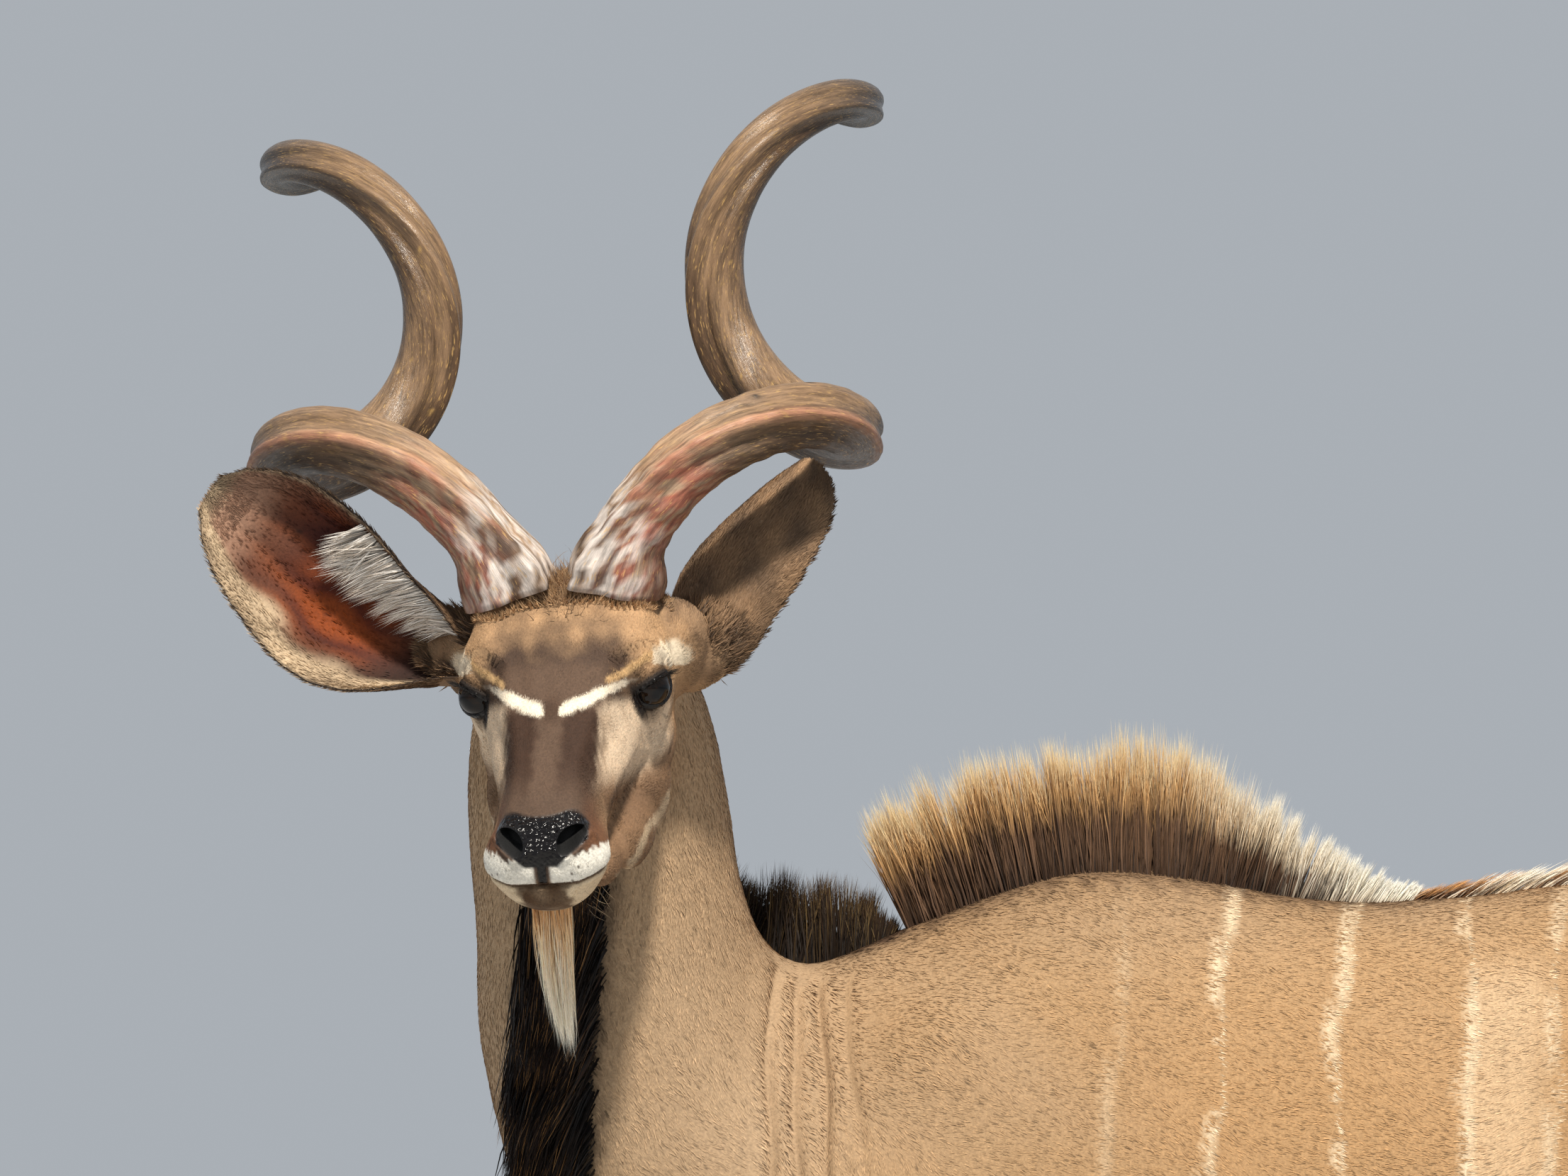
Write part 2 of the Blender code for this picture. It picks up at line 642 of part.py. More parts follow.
def horn_middle(turn, side):
    """The middle line of a horn; side is 1 for the animal's left."""
    radius, _, extra = horn_table(turn)
    ahead, outward, up = HORN_AXIS
    halves = turn / math.pi
    outward += 0.0052 * halves - side * (0.0037 + HORN_LEAN * halves**2) * min(1, max(0, halves + 1) * 2)
    up += extra + side * HORN_UNEVEN * halves * min(1, max(0, halves + 1) * 2)
    along = HORN_RISE * turn / math.tau
    lift = -radius * math.sin(turn)
    tilt = HORN_AXIS_TILT
    return round_head(
        ahead - along * math.cos(tilt) + lift * math.sin(tilt),
        side * (outward + radius * math.cos(turn)),
        up + along * math.sin(tilt) + lift * math.cos(tilt),
    )


def horn(side):
    """Rings of a horn that curls outward as it climbs, with a sharp keel that winds along it."""
    axis = (CROWN @ Vector((-math.cos(HORN_AXIS_TILT), 0, math.sin(HORN_AXIS_TILT)))).normalized()
    rings = []
    for i in range(HORN_RINGS + 1):
        turn = HORN_START + (HORN_END - HORN_START) * i / HORN_RINGS
        here = horn_middle(turn, side)
        along = (horn_middle(turn + 0.03, side) - horn_middle(turn - 0.03, side)).normalized()
        outside = CROWN @ Vector((-math.sin(turn) * math.sin(HORN_AXIS_TILT), side * math.cos(turn),
                                       -math.sin(turn) * math.cos(HORN_AXIS_TILT)))
        outside = (outside - along * outside.dot(along)).normalized()
        back = -axis + along * axis.dot(along)
        back = (back - outside * back.dot(outside)).normalized()
        keel = outside * math.cos(KEEL_ANGLE) + back * math.sin(KEEL_ANGLE)
        flank = along.cross(keel)
        thick = horn_table(turn)[1]
        ring = []
        for j in range(HORN_SIDES):
            angle = math.tau * j / HORN_SIDES
            off = min(angle, math.tau - angle)
            hollow = 0.05 * math.exp(-(((off - 0.9) / 0.4) ** 2))
            reach = thick * (0.96 + 0.20 * math.exp(-((off / 0.42) ** 2)) - hollow)
            ring.append(here + (keel * math.cos(angle) + flank * math.sin(angle) * 0.95) * reach)
        rings.append(ring)
    return rings


# ---------------------------------------------------------------- ears
# share of the length, middle's shift to the lower edge, half-width, half-angle of the cup in degrees
EAR = (
    (-0.04, 0.000, 0.026, 150), (0.06, 0.006, 0.036, 132), (0.16, 0.014, 0.048, 108), (0.27, 0.021, 0.060, 90),
    (0.38, 0.022, 0.070, 76), (0.50, 0.018, 0.0745, 66), (0.62, 0.012, 0.072, 60), (0.74, 0.006, 0.066, 55),
    (0.85, 0.003, 0.054, 50), (0.94, 0.001, 0.038, 46), (1.00, 0.000, 0.019, 42),
)
EAR_WALL = 0.0036
# root, tip, the way the cup opens (ahead, left, up), and how broad it is spread
EARS = {
    "ear_right": ((-0.080, -0.098, 0.035), (-0.062, -0.311, 0.192), (0.95, -0.20, 0.10), 1.0),
    "ear_left": ((-0.074, 0.096, 0.036), (-0.190, 0.206, 0.190), (-0.68, 0.54, -0.50), 0.92),
}


def ear(name, across=8):
    """Outer and inner walls of a cupped leaf, as closed rings from root to tip."""
    root, tip, opens_to, spread = EARS[name]
    start, end = round_head(*root), round_head(*tip)
    along = (end - start).normalized()
    face = CROWN @ Vector(opens_to)
    face = (face - along * face.dot(along)).normalized()
    wide = along.cross(face) * (1 if name == "ear_right" else -1)
    rings = []
    for share, shift, half_width, cup in EAR:
        half_angle = math.radians(cup)
        half_width *= spread
        radius = half_width / math.sin(min(half_angle, math.pi / 2))
        middle = start.lerp(end, share) - wide * shift * spread - face * 0.012 * math.sin(math.pi * max(share, 0))
        outer, inner = [], []
        for i in range(across + 1):
            angle = half_angle * (2 * i / across - 1)
            for points, reach in ((outer, radius), (inner, radius - EAR_WALL)):
                points.append(middle + wide * (reach * math.sin(angle)) + face * (radius - reach * math.cos(angle)))
        rings.append(outer + inner[::-1])
    return rings


def shell(name, rings, collection, finish):
    """As loft, but each end is closed by a strip between the two walls."""
    shape = bmesh.new()
    loops = [[shape.verts.new(point) for point in ring] for ring in rings]
    for low, high in zip(loops, loops[1:]):
        for i in range(len(low)):
            j = (i + 1) % len(low)
            shape.faces.new((low[i], low[j], high[j], high[i]))
    for loop in (loops[0], loops[-1]):
        last = len(loop) - 1
        for i in range(len(loop) // 2 - 1):
            shape.faces.new((loop[i], loop[i + 1], loop[last - i - 1], loop[last - i]))
    bmesh.ops.recalc_face_normals(shape, faces=shape.faces)
    mesh = bpy.data.meshes.new(name)
    shape.to_mesh(mesh)
    shape.free()
    return mesh_object(name, mesh, collection, finish)


# ---------------------------------------------------------------- long hair
# foot of the hair x, y, z; its tip x, y, z; half-width at the foot and at the tip
NAPE = (
    (0.135, -0.429, 1.628, 0.122, -0.429, 1.645, 0.010, 0.003),
    (0.090, -0.429, 1.605, 0.058, -0.427, 1.640, 0.013, 0.003),
    (0.030, -0.420, 1.555, -0.030, -0.411, 1.592, 0.016, 0.003),
    (-0.012, -0.405, 1.472, -0.076, -0.389, 1.502, 0.017, 0.004),
    (-0.046, -0.374, 1.390, -0.106, -0.347, 1.430, 0.018, 0.004),
    (-0.056, -0.320, 1.330, -0.085, -0.302, 1.396, 0.018, 0.004),
    (-0.034, -0.254, 1.308, -0.045, -0.250, 1.391, 0.018, 0.004),
    (-0.012, -0.200, 1.310, -0.014, -0.206, 1.379, 0.016, 0.004),
    (-0.004, -0.168, 1.318, -0.004, -0.162, 1.342, 0.012, 0.003),
)
WITHERS = (
    (-0.002, -0.150, 1.330, -0.002, -0.191, 1.441, 0.013, 0.004),
    (0.0, -0.122, 1.345, 0.0, -0.166, 1.474, 0.016, 0.004),
    (0.0, -0.060, 1.376, 0.0, -0.090, 1.497, 0.019, 0.005),
    (0.0, 0.005, 1.390, 0.0, -0.005, 1.512, 0.020, 0.005),
    (0.0, 0.070, 1.386, 0.0, 0.074, 1.520, 0.019, 0.005),
    (0.0, 0.130, 1.372, 0.0, 0.150, 1.484, 0.017, 0.004),
    (0.0, 0.185, 1.360, 0.0, 0.208, 1.436, 0.014, 0.004),
    (0.0, 0.240, 1.354, 0.0, 0.262, 1.398, 0.011, 0.003),
    (0.0, 0.296, 1.354, 0.0, 0.312, 1.374, 0.009, 0.003),
)
SPINE = (
    (0.0, 0.318, 1.354, 0.0, 0.326, 1.374, 0.008, 0.003),
    (0.0, 0.420, 1.366, 0.0, 0.438, 1.405, 0.008, 0.003),
    (0.0, 0.520, 1.376, 0.0, 0.542, 1.412, 0.008, 0.003),
    (0.0, 0.610, 1.368, 0.0, 0.634, 1.402, 0.008, 0.003),
    (0.0, 0.690, 1.336, 0.0, 0.716, 1.366, 0.008, 0.003),
    (0.0, 0.748, 1.288, 0.0, 0.774, 1.314, 0.008, 0.003),
)
THROAT = (
    (0.425, -0.428, 1.390, 0.428, -0.428, 1.362, 0.020, 0.008),
    (0.375, -0.428, 1.412, 0.378, -0.430, 1.356, 0.028, 0.010),
    (0.300, -0.429, 1.432, 0.322, -0.432, 1.340, 0.034, 0.012),
    (0.225, -0.432, 1.410, 0.300, -0.437, 1.315, 0.040, 0.016),
    (0.206, -0.442, 1.310, 0.298, -0.455, 1.235, 0.043, 0.018),
    (0.186, -0.452, 1.205, 0.276, -0.474, 1.125, 0.044, 0.018),
    (0.160, -0.450, 1.100, 0.232, -0.490, 1.020, 0.042, 0.018),
    (0.105, -0.450, 1.005, 0.150, -0.508, 0.925, 0.036, 0.016),
    (0.045, -0.440, 0.930, 0.060, -0.490, 0.868, 0.028, 0.012),
)
BEARD = (  # x, y, z, half-width, half-depth
    (0.472, -0.430, 1.400, 0.019, 0.022),
    (0.470, -0.429, 1.365, 0.022, 0.026),
    (0.465, -0.427, 1.325, 0.019, 0.024),
    (0.458, -0.422, 1.280, 0.014, 0.018),
    (0.449, -0.416, 1.240, 0.008, 0.011),
    (0.442, -0.412, 1.222, 0.003, 0.004),
)


def crest(name, rows, per_span, pieces, finish):
    """A blade of long hair standing on a line, with a ragged edge. Its foot is cut to the flesh later."""
    rows = stations(rows, per_span)
    rings = []
    for i, row in enumerate(rows):
        foot, tip = Vector(row[:3]), Vector(row[3:6])
        wide, narrow = row[6:8]
        before, after = rows[max(i - 1, 0)], rows[min(i + 1, len(rows) - 1)]
        along = (Vector(after[:3]) - Vector(before[:3])).normalized()
        rise = tip - foot
        across = along.cross(rise).normalized()
        ragged = 1.0 if i % 2 == 0 else 0.90
        ring = []
        profile = ((-0.18, wide), (0.55, 0.75 * wide), (ragged, narrow))
        ring.extend(foot + rise * height + across * half for height, half in profile)
        ring.extend(foot + rise * height - across * half for height, half in reversed(profile))
        rings.append(ring)
    return loft(name, rings, pieces, finish)


# ---------------------------------------------------------------- the whole animal
def build():
    clear_scene()
    pieces, helpers = new_collection(COLLECTION), new_collection("helpers")
    coat = material("coat", COAT_FAWN, 0.85)
    dark_hair = material("mane", HAIR_DARK, 0.8)
    pale_hair = material("beard", HAIR_PALE, 0.8)
    horny = material("horn", HORN_BROWN, 0.45)
    hoof = material("hoof", HOOF_BLACK, 0.5)
    wet = material("eye", EYE_DARK, 0.06)

    flesh = fused_flesh(helpers)
    cutters = foot_cutters(helpers)
    carve(flesh, cutters)
    for cutter in cutters:
        bpy.data.objects.remove(cutter)

    eyes = []
    for name, side in (("eye_left", 1), ("eye_right", -1)):
        ball = bmesh.new()
        bmesh.ops.create_uvsphere(ball, u_segments=12, v_segments=8, radius=EYE_RADIUS)
        bmesh.ops.translate(ball, verts=ball.verts, vec=on_head(EYE_FORWARD, side * EYE_SPREAD, EYE_UP))
        mesh = bpy.data.meshes.new(name)
        ball.to_mesh(mesh)
        ball.free()
        eyes.append(mesh_object(name, mesh, pieces, wet))
        eyes[-1].data.shade_smooth()
    around = grown(flesh, "around_flesh", HAIR_GAP, helpers)

    standing = [
        loft("horn_left", horn(1), pieces, horny),
        loft("horn_right", horn(-1), pieces, horny),
        shell("ear_left", ear("ear_left"), pieces, coat),
        shell("ear_right", ear("ear_right"), pieces, coat),
        crest("mane_nape", NAPE, 2, pieces, dark_hair),
        crest("mane_withers", WITHERS, 2, pieces, dark_hair),
        crest("mane_spine", SPINE, 2, pieces, dark_hair),
        crest("throat_fringe", THROAT, 2, pieces, dark_hair),
        loft("beard", [oval(Vector((x, y, z)), Vector((0, 1, 0)), Vector((1, 0, 0)), w, d, d, sides=10)
                       for x, y, z, w, d in stations(BEARD, 2)], pieces, pale_hair),
    ]
    for piece in standing:
        finish = piece.data.materials[0]
        carve(piece, [around])
        piece.data.materials.clear()
        piece.data.materials.append(finish)

    sockets = [grown(ball, "socket", PART_GAP, helpers) for ball in eyes]
    carve(flesh, sockets)
    for helper in (around, *sockets):
        bpy.data.objects.remove(helper)
    part_the_flesh(flesh, pieces, helpers, coat)
    for leg in STEP_FORWARD:
        for place, offset in (("outer", CLAW_OFFSET), ("inner", -CLAW_OFFSET)):
            side = 1 if leg.endswith("left") else -1
            claw(f"hoof_{leg}_{place}", leg, side * offset, pieces, hoof)

    low, high = Vector((9, 9, 9)), Vector((-9, -9, -9))
    for piece in pieces.objects:
        for vertex in piece.data.vertices:
            low = Vector(map(min, low, vertex.co))
            high = Vector(map(max, high, vertex.co))
    to_origin = Vector((-(low.x + high.x) / 2, -(low.y + high.y) / 2, -low.z))
    for piece in pieces.objects:
        piece.data.transform(Matrix.Translation(to_origin))
        total = sum(len(face.vertices) - 2 for face in piece.data.polygons)
        print(f"{piece.name}: {total} triangles")
        if piece.name.startswith(("horn", "eye")):
            piece.data.shade_smooth()
    print("size", [round(v, 4) for v in high - low], "moved by", [round(v, 4) for v in to_origin])


build()
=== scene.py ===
"""The looks of a life-size greater kudu bull: one skin under its fur, with horns, eyes, hooves and long hair.

Everything is laid out in the frame of the solids' own source, where the animal faces -Y, its left side is +X,
the withers are over y = 0 and the floor is z = 0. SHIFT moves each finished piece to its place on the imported
model. Colours are linear. Lengths are in metres.
"""

import math

import bmesh
import bpy
import numpy as np
from mathutils import Matrix, Vector
from mathutils.bvhtree import BVHTree


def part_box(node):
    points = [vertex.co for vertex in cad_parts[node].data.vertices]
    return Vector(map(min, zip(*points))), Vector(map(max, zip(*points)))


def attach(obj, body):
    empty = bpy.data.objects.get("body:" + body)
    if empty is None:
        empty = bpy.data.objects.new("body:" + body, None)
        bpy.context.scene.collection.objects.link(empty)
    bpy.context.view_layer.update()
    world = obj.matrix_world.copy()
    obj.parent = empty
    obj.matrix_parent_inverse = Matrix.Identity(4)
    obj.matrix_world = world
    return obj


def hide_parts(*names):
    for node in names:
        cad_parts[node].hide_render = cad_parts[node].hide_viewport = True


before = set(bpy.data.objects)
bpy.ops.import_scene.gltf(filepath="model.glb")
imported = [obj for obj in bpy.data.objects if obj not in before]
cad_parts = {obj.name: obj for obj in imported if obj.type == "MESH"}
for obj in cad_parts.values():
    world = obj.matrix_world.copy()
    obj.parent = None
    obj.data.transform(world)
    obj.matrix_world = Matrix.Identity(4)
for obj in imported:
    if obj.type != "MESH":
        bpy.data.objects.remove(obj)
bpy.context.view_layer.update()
CHANCE = np.random.default_rng(7)
DRAFT = 1.0  # how much coarser a draft's meshes are

# ---------------------------------------------------------------- the frame of the head
EYE_MIDDLE = Vector((0.35, -0.426, 1.55))  # halfway between the two eyeballs' places
HEAD_TURN = (Matrix.Rotation(math.radians(-2.5), 3, "Z") @ Matrix.Rotation(math.radians(3.0), 3, "X")
             @ Matrix.Rotation(math.radians(30), 3, "Y"))
CROWN = Matrix.Rotation(math.radians(3.5), 3, "X")
EYE_RADIUS, EYE_SPREAD, EYE_FORWARD, EYE_UP = 0.0205, 0.0735, 0.012, 0.005
EYE_PLACE = np.array((EYE_FORWARD, EYE_SPREAD, EYE_UP))  # the left eyeball's middle in the frame of the head


def box_middle(node):
    low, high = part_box(node)
    return (low + high) / 2


EYES = {1: box_middle("eye_left"), -1: box_middle("eye_right")}
SHIFT = (EYES[1] + EYES[-1]) / 2 - HEAD_TURN @ Vector((EYE_FORWARD, 0, EYE_UP)) - EYE_MIDDLE
HEAD_R, EYE0 = np.array(HEAD_TURN), np.array(EYE_MIDDLE)
PITCH_COS, PITCH_SIN = math.cos(math.radians(30)), math.sin(math.radians(30))


def head_local(points):
    """Points as forward, left and up of the middle of the eyes."""
    return (points - EYE0) @ HEAD_R


def head_world(local):
    return EYE0 + np.asarray(local) @ HEAD_R.T


def mirrored_head(points):
    """The same, with the right half of the head laid over the left."""
    local = head_local(points)
    local[:, 1] = np.abs(local[:, 1])
    return local


def round_head(ahead, left, up):
    return EYE_MIDDLE + CROWN @ Vector((ahead, left, up))


# ---------------------------------------------------------------- the forms that the solids have
# y, top, bottom, height of the widest place, half-width, sharpness of the back's ridge
TRUNK = (
    (-0.475, 1.09, 0.955, 1.03, 0.050, 2.0), (-0.43, 1.17, 0.895, 1.04, 0.100, 2.0),
    (-0.34, 1.26, 0.845, 1.04, 0.145, 1.9), (-0.22, 1.312, 0.812, 1.04, 0.172, 1.7),
    (-0.11, 1.362, 0.795, 1.04, 0.188, 1.5), (0.00, 1.400, 0.785, 1.04, 0.199, 1.4),
    (0.11, 1.388, 0.776, 1.03, 0.212, 1.5), (0.22, 1.364, 0.772, 1.02, 0.223, 1.75),
    (0.34, 1.366, 0.785, 1.03, 0.226, 1.9), (0.46, 1.382, 0.825, 1.05, 0.214, 1.8),
    (0.57, 1.388, 0.880, 1.08, 0.196, 1.75), (0.67, 1.362, 0.940, 1.10, 0.172, 1.85),
    (0.75, 1.300, 0.990, 1.12, 0.132, 2.0), (0.80, 1.225, 1.040, 1.13, 0.080, 2.0),
)
# centre x, y, z, turn of the throat away from -Y in degrees, half-depth, half-width
NECK = (
    (0.000, -0.160, 1.03, 6, 0.235, 0.150), (0.025, -0.325, 1.14, 36, 0.205, 0.140),
    (0.055, -0.393, 1.25, 60, 0.169, 0.133), (0.085, -0.411, 1.35, 74, 0.144, 0.121),
    (0.112, -0.420, 1.44, 82, 0.130, 0.118), (0.140, -0.424, 1.51, 87, 0.116, 0.110),
    (0.185, -0.427, 1.562, 90, 0.092, 0.092), (0.250, -0.426, 1.580, 90, 0.072, 0.074),
)
# forward, top, then half-width and height of the brow, cheek and jaw, and the bottom
HEAD = (
    (-0.150, 0.024, 0.040, 0.016, 0.056, -0.020, 0.046, -0.070, -0.090),
    (-0.112, 0.053, 0.054, 0.041, 0.077, -0.015, 0.062, -0.092, -0.118),
    (-0.070, 0.074, 0.066, 0.060, 0.090, -0.012, 0.070, -0.106, -0.136),
    (-0.030, 0.074, 0.076, 0.058, 0.093, -0.012, 0.066, -0.104, -0.134),
    (0.008, 0.063, 0.074, 0.046, 0.088, -0.020, 0.056, -0.097, -0.127),
    (0.045, 0.050, 0.056, 0.035, 0.069, -0.028, 0.046, -0.089, -0.117),
    (0.085, 0.039, 0.045, 0.026, 0.060, -0.029, 0.038, -0.082, -0.107),
    (0.125, 0.030, 0.036, 0.019, 0.052, -0.030, 0.036, -0.080, -0.104),
    (0.165, 0.022, 0.032, 0.012, 0.048, -0.031, 0.036, -0.078, -0.103),
    (0.200, 0.015, 0.034, 0.004, 0.053, -0.036, 0.040, -0.076, -0.101),
    (0.228, 0.008, 0.037, -0.004, 0.056, -0.038, 0.041, -0.071, -0.093),
    (0.248, 0.001, 0.036, -0.011, 0.050, -0.038, 0.036, -0.064, -0.080),
    (0.264, -0.013, 0.024, -0.020, 0.033, -0.037, 0.024, -0.056, -0.066),
)
# legs as seen on the left: x, y, z, half-width across, half-depth front to back
FORELEG = (
    (0.105, -0.13, 1.20, 0.050, 0.085), (0.130, -0.17, 1.08, 0.064, 0.125),
    (0.142, -0.19, 0.95, 0.066, 0.130), (0.146, -0.165, 0.84, 0.058, 0.098),
    (0.142, -0.150, 0.74, 0.049, 0.070), (0.136, -0.148, 0.62, 0.040, 0.052),
    (0.130, -0.152, 0.52, 0.032, 0.039), (0.128, -0.158, 0.455, 0.034, 0.038),
    (0.126, -0.152, 0.40, 0.029, 0.032), (0.125, -0.150, 0.33, 0.0225, 0.027),
    (0.124, -0.150, 0.24, 0.0215, 0.026), (0.124, -0.150, 0.18, 0.026, 0.031),
    (0.124, -0.154, 0.145, 0.030, 0.035), (0.124, -0.166, 0.105, 0.028, 0.029),
    (0.124, -0.182, 0.070, 0.034, 0.034), (0.124, -0.192, 0.046, 0.034, 0.035),
    (0.124, -0.196, 0.020, 0.034, 0.035),
)
HIND_LEG = (
    (0.095, 0.60, 1.26, 0.050, 0.110), (0.112, 0.60, 1.13, 0.074, 0.165), (0.128, 0.58, 1.00, 0.080, 0.175),
    (0.137, 0.565, 0.88, 0.070, 0.145), (0.137, 0.590, 0.77, 0.055, 0.105),
    (0.134, 0.635, 0.67, 0.042, 0.072), (0.132, 0.682, 0.585, 0.031, 0.050),
    (0.131, 0.705, 0.525, 0.033, 0.046), (0.130, 0.703, 0.46, 0.029, 0.036),
    (0.129, 0.696, 0.38, 0.0235, 0.029), (0.128, 0.692, 0.27, 0.0225, 0.028),
    (0.128, 0.690, 0.19, 0.027, 0.032), (0.128, 0.686, 0.150, 0.031, 0.036),
    (0.128, 0.672, 0.108, 0.028, 0.030), (0.128, 0.655, 0.072, 0.034, 0.034),
    (0.128, 0.645, 0.046, 0.034, 0.035), (0.128, 0.641, 0.020, 0.034, 0.035),
)
HAMSTRING = ((0.134, 0.665, 0.76, 0.024, 0.024), (0.132, 0.715, 0.66, 0.015, 0.015),
             (0.131, 0.748, 0.583, 0.019, 0.019), (0.131, 0.738, 0.53, 0.020, 0.020))
SHOULDER_HEIGHT = 0.95
STEP_FORWARD = {"foreleg_left": 0.035, "foreleg_right": -0.045, "hind_leg_left": -0.03,
                "hind_leg_right": 0.06}
# x, y, z, half-width, half-depth
TAIL = (
    (0.0, 0.760, 1.285, 0.034, 0.030), (0.0, 0.815, 1.250, 0.030, 0.026), (0.0, 0.850, 1.175, 0.026, 0.021),
    (0.0, 0.860, 1.08, 0.029, 0.022), (0.0, 0.860, 0.98, 0.032, 0.024), (0.0, 0.857, 0.90, 0.034, 0.026),
    (0.0, 0.854, 0.83, 0.031, 0.025), (0.0, 0.852, 0.76, 0.018, 0.016),
)
TAIL_SLIM = 0.62  # the flesh of the tail inside its hair
# middle, half-sizes, tilt about X in degrees
MUSCLES = (
    ((0.110, -0.150, 1.12), (0.056, 0.090, 0.170), -22), ((0.150, -0.235, 0.985), (0.052, 0.115, 0.095), 20),
    ((0.135, 0.560, 1.170), (0.060, 0.130, 0.130), 0), ((0.118, 0.690, 1.030), (0.058, 0.085, 0.150), 12),
    ((0.152, 0.470, 0.925), (0.040, 0.070, 0.085), 30),
)
# forward, left, up, and the half-sizes the same way
HEAD_MUSCLES = (
    ((-0.005, 0.070, 0.007), (0.037, 0.027, 0.031)), ((-0.078, 0.086, -0.006), (0.043, 0.036, 0.045)),
    ((-0.030, 0.058, -0.062), (0.062, 0.030, 0.052)),
)
# fuller flesh of the lower jaw, which only the skin has
JAW = (
    ((0.002, 0.056, -0.098), (0.060, 0.026, 0.042)), ((0.058, 0.049, -0.108), (0.060, 0.023, 0.030)),
    ((0.108, 0.032, -0.104), (0.055, 0.018, 0.020)),
)
# share of the length, middle's shift to the lower edge, half-width, half-angle of the cup in degrees
EAR = (
    (-0.04, 0.000, 0.026, 150), (0.06, 0.006, 0.036, 132), (0.16, 0.014, 0.048, 108),
    (0.27, 0.021, 0.060, 90), (0.38, 0.022, 0.070, 76), (0.50, 0.018, 0.0745, 66), (0.62, 0.012, 0.072, 60),
    (0.74, 0.006, 0.066, 55), (0.85, 0.003, 0.054, 50), (0.94, 0.001, 0.038, 46), (1.00, 0.000, 0.019, 42),
)
# root, tip, the way the cup opens (ahead, left, up), and how broad it is spread
EARS = {
    "ear_right": ((-0.080, -0.098, 0.035), (-0.062, -0.311, 0.192), (0.95, -0.20, 0.10), 1.0),
    "ear_left": ((-0.074, 0.096, 0.036), (-0.190, 0.206, 0.190), (-0.68, 0.54, -0.50), 0.92),
}
# flesh round each ear's root: along the ear, into its cup, and the half-sizes along, across and into it
EAR_ROOTS = {"ear_left": ((0.020, 0.026, (0.054, 0.033, 0.030)), (0.006, 0.020, (0.036, 0.038, 0.034))),
             "ear_right": ((0.002, 0.008, (0.032, 0.028, 0.018)),)}
# turn in half circles, radius of the curl, half-thickness of the horn, extra height
HORN = (
    (-0.99, 0.138, 0.0370, 0.000), (-0.89, 0.129, 0.0365, 0.000), (-0.80, 0.119, 0.0358, 0.001),
    (-0.70, 0.111, 0.0352, 0.003), (-0.50, 0.096, 0.0340, 0.005), (-0.33, 0.085, 0.0328, 0.005),
    (-0.15, 0.071, 0.0315, 0.005), (0.00, 0.0655, 0.0305, 0.005), (0.25, 0.064, 0.0297, 0.006),
    (0.50, 0.064, 0.0295, 0.008), (0.75, 0.065, 0.0293, 0.010), (1.00, 0.066, 0.0290, 0.012),
    (1.25, 0.068, 0.0272, 0.015), (1.50, 0.070, 0.0245, 0.021), (1.75, 0.071, 0.0212, 0.026),
    (2.00, 0.070, 0.0174, 0.030), (2.20, 0.068, 0.0130, 0.028), (2.36, 0.066, 0.0085, 0.028),
    (2.50, 0.064, 0.0020, 0.028),
)
HORN_TILT = math.radians(38)
HORN_AXIS, HORN_RISE = (-0.188, 0.188, 0.2095), 0.42
HORN_START, HORN_END = -0.99 * math.pi, 2.5 * math.pi
HORN_LEAN, HORN_UNEVEN, KEEL_ANGLE = 0.0028, 0.0066, math.radians(48)
# long hair: foot x, y, z; tip x, y, z; half-width at the foot and at the tip
NAPE = (
    (0.135, -0.429, 1.628, 0.122, -0.429, 1.645, 0.010, 0.003),
    (0.090, -0.429, 1.605, 0.058, -0.427, 1.640, 0.013, 0.003),
    (0.030, -0.420, 1.555, -0.030, -0.411, 1.592, 0.016, 0.003),
    (-0.012, -0.405, 1.472, -0.076, -0.389, 1.502, 0.017, 0.004),
    (-0.046, -0.374, 1.390, -0.106, -0.347, 1.430, 0.018, 0.004),
    (-0.056, -0.320, 1.330, -0.085, -0.302, 1.396, 0.018, 0.004),
    (-0.034, -0.254, 1.308, -0.045, -0.250, 1.391, 0.018, 0.004),
    (-0.012, -0.200, 1.310, -0.014, -0.206, 1.379, 0.016, 0.004),
    (-0.004, -0.168, 1.318, -0.004, -0.162, 1.342, 0.012, 0.003),
)
WITHERS = (
    (-0.002, -0.150, 1.330, -0.002, -0.191, 1.441, 0.013, 0.004),
    (0.0, -0.122, 1.345, 0.0, -0.166, 1.474, 0.016, 0.004),
    (0.0, -0.060, 1.376, 0.0, -0.090, 1.497, 0.019, 0.005),
    (0.0, 0.005, 1.390, 0.0, -0.005, 1.512, 0.020, 0.005),
    (0.0, 0.070, 1.386, 0.0, 0.074, 1.520, 0.019, 0.005),
    (0.0, 0.130, 1.372, 0.0, 0.150, 1.484, 0.017, 0.004),
    (0.0, 0.185, 1.360, 0.0, 0.208, 1.436, 0.014, 0.004),
    (0.0, 0.240, 1.354, 0.0, 0.262, 1.398, 0.011, 0.003),
    (0.0, 0.296, 1.354, 0.0, 0.312, 1.374, 0.009, 0.003),
)
SPINE = (
    (0.0, 0.285, 1.354, 0.0, 0.296, 1.372, 0.008, 0.003),
    (0.0, 0.420, 1.366, 0.0, 0.438, 1.405, 0.008, 0.003),
    (0.0, 0.520, 1.376, 0.0, 0.542, 1.412, 0.008, 0.003),
    (0.0, 0.610, 1.368, 0.0, 0.634, 1.402, 0.008, 0.003),
    (0.0, 0.690, 1.336, 0.0, 0.716, 1.366, 0.008, 0.003),
    (0.0, 0.748, 1.288, 0.0, 0.774, 1.314, 0.008, 0.003),
)
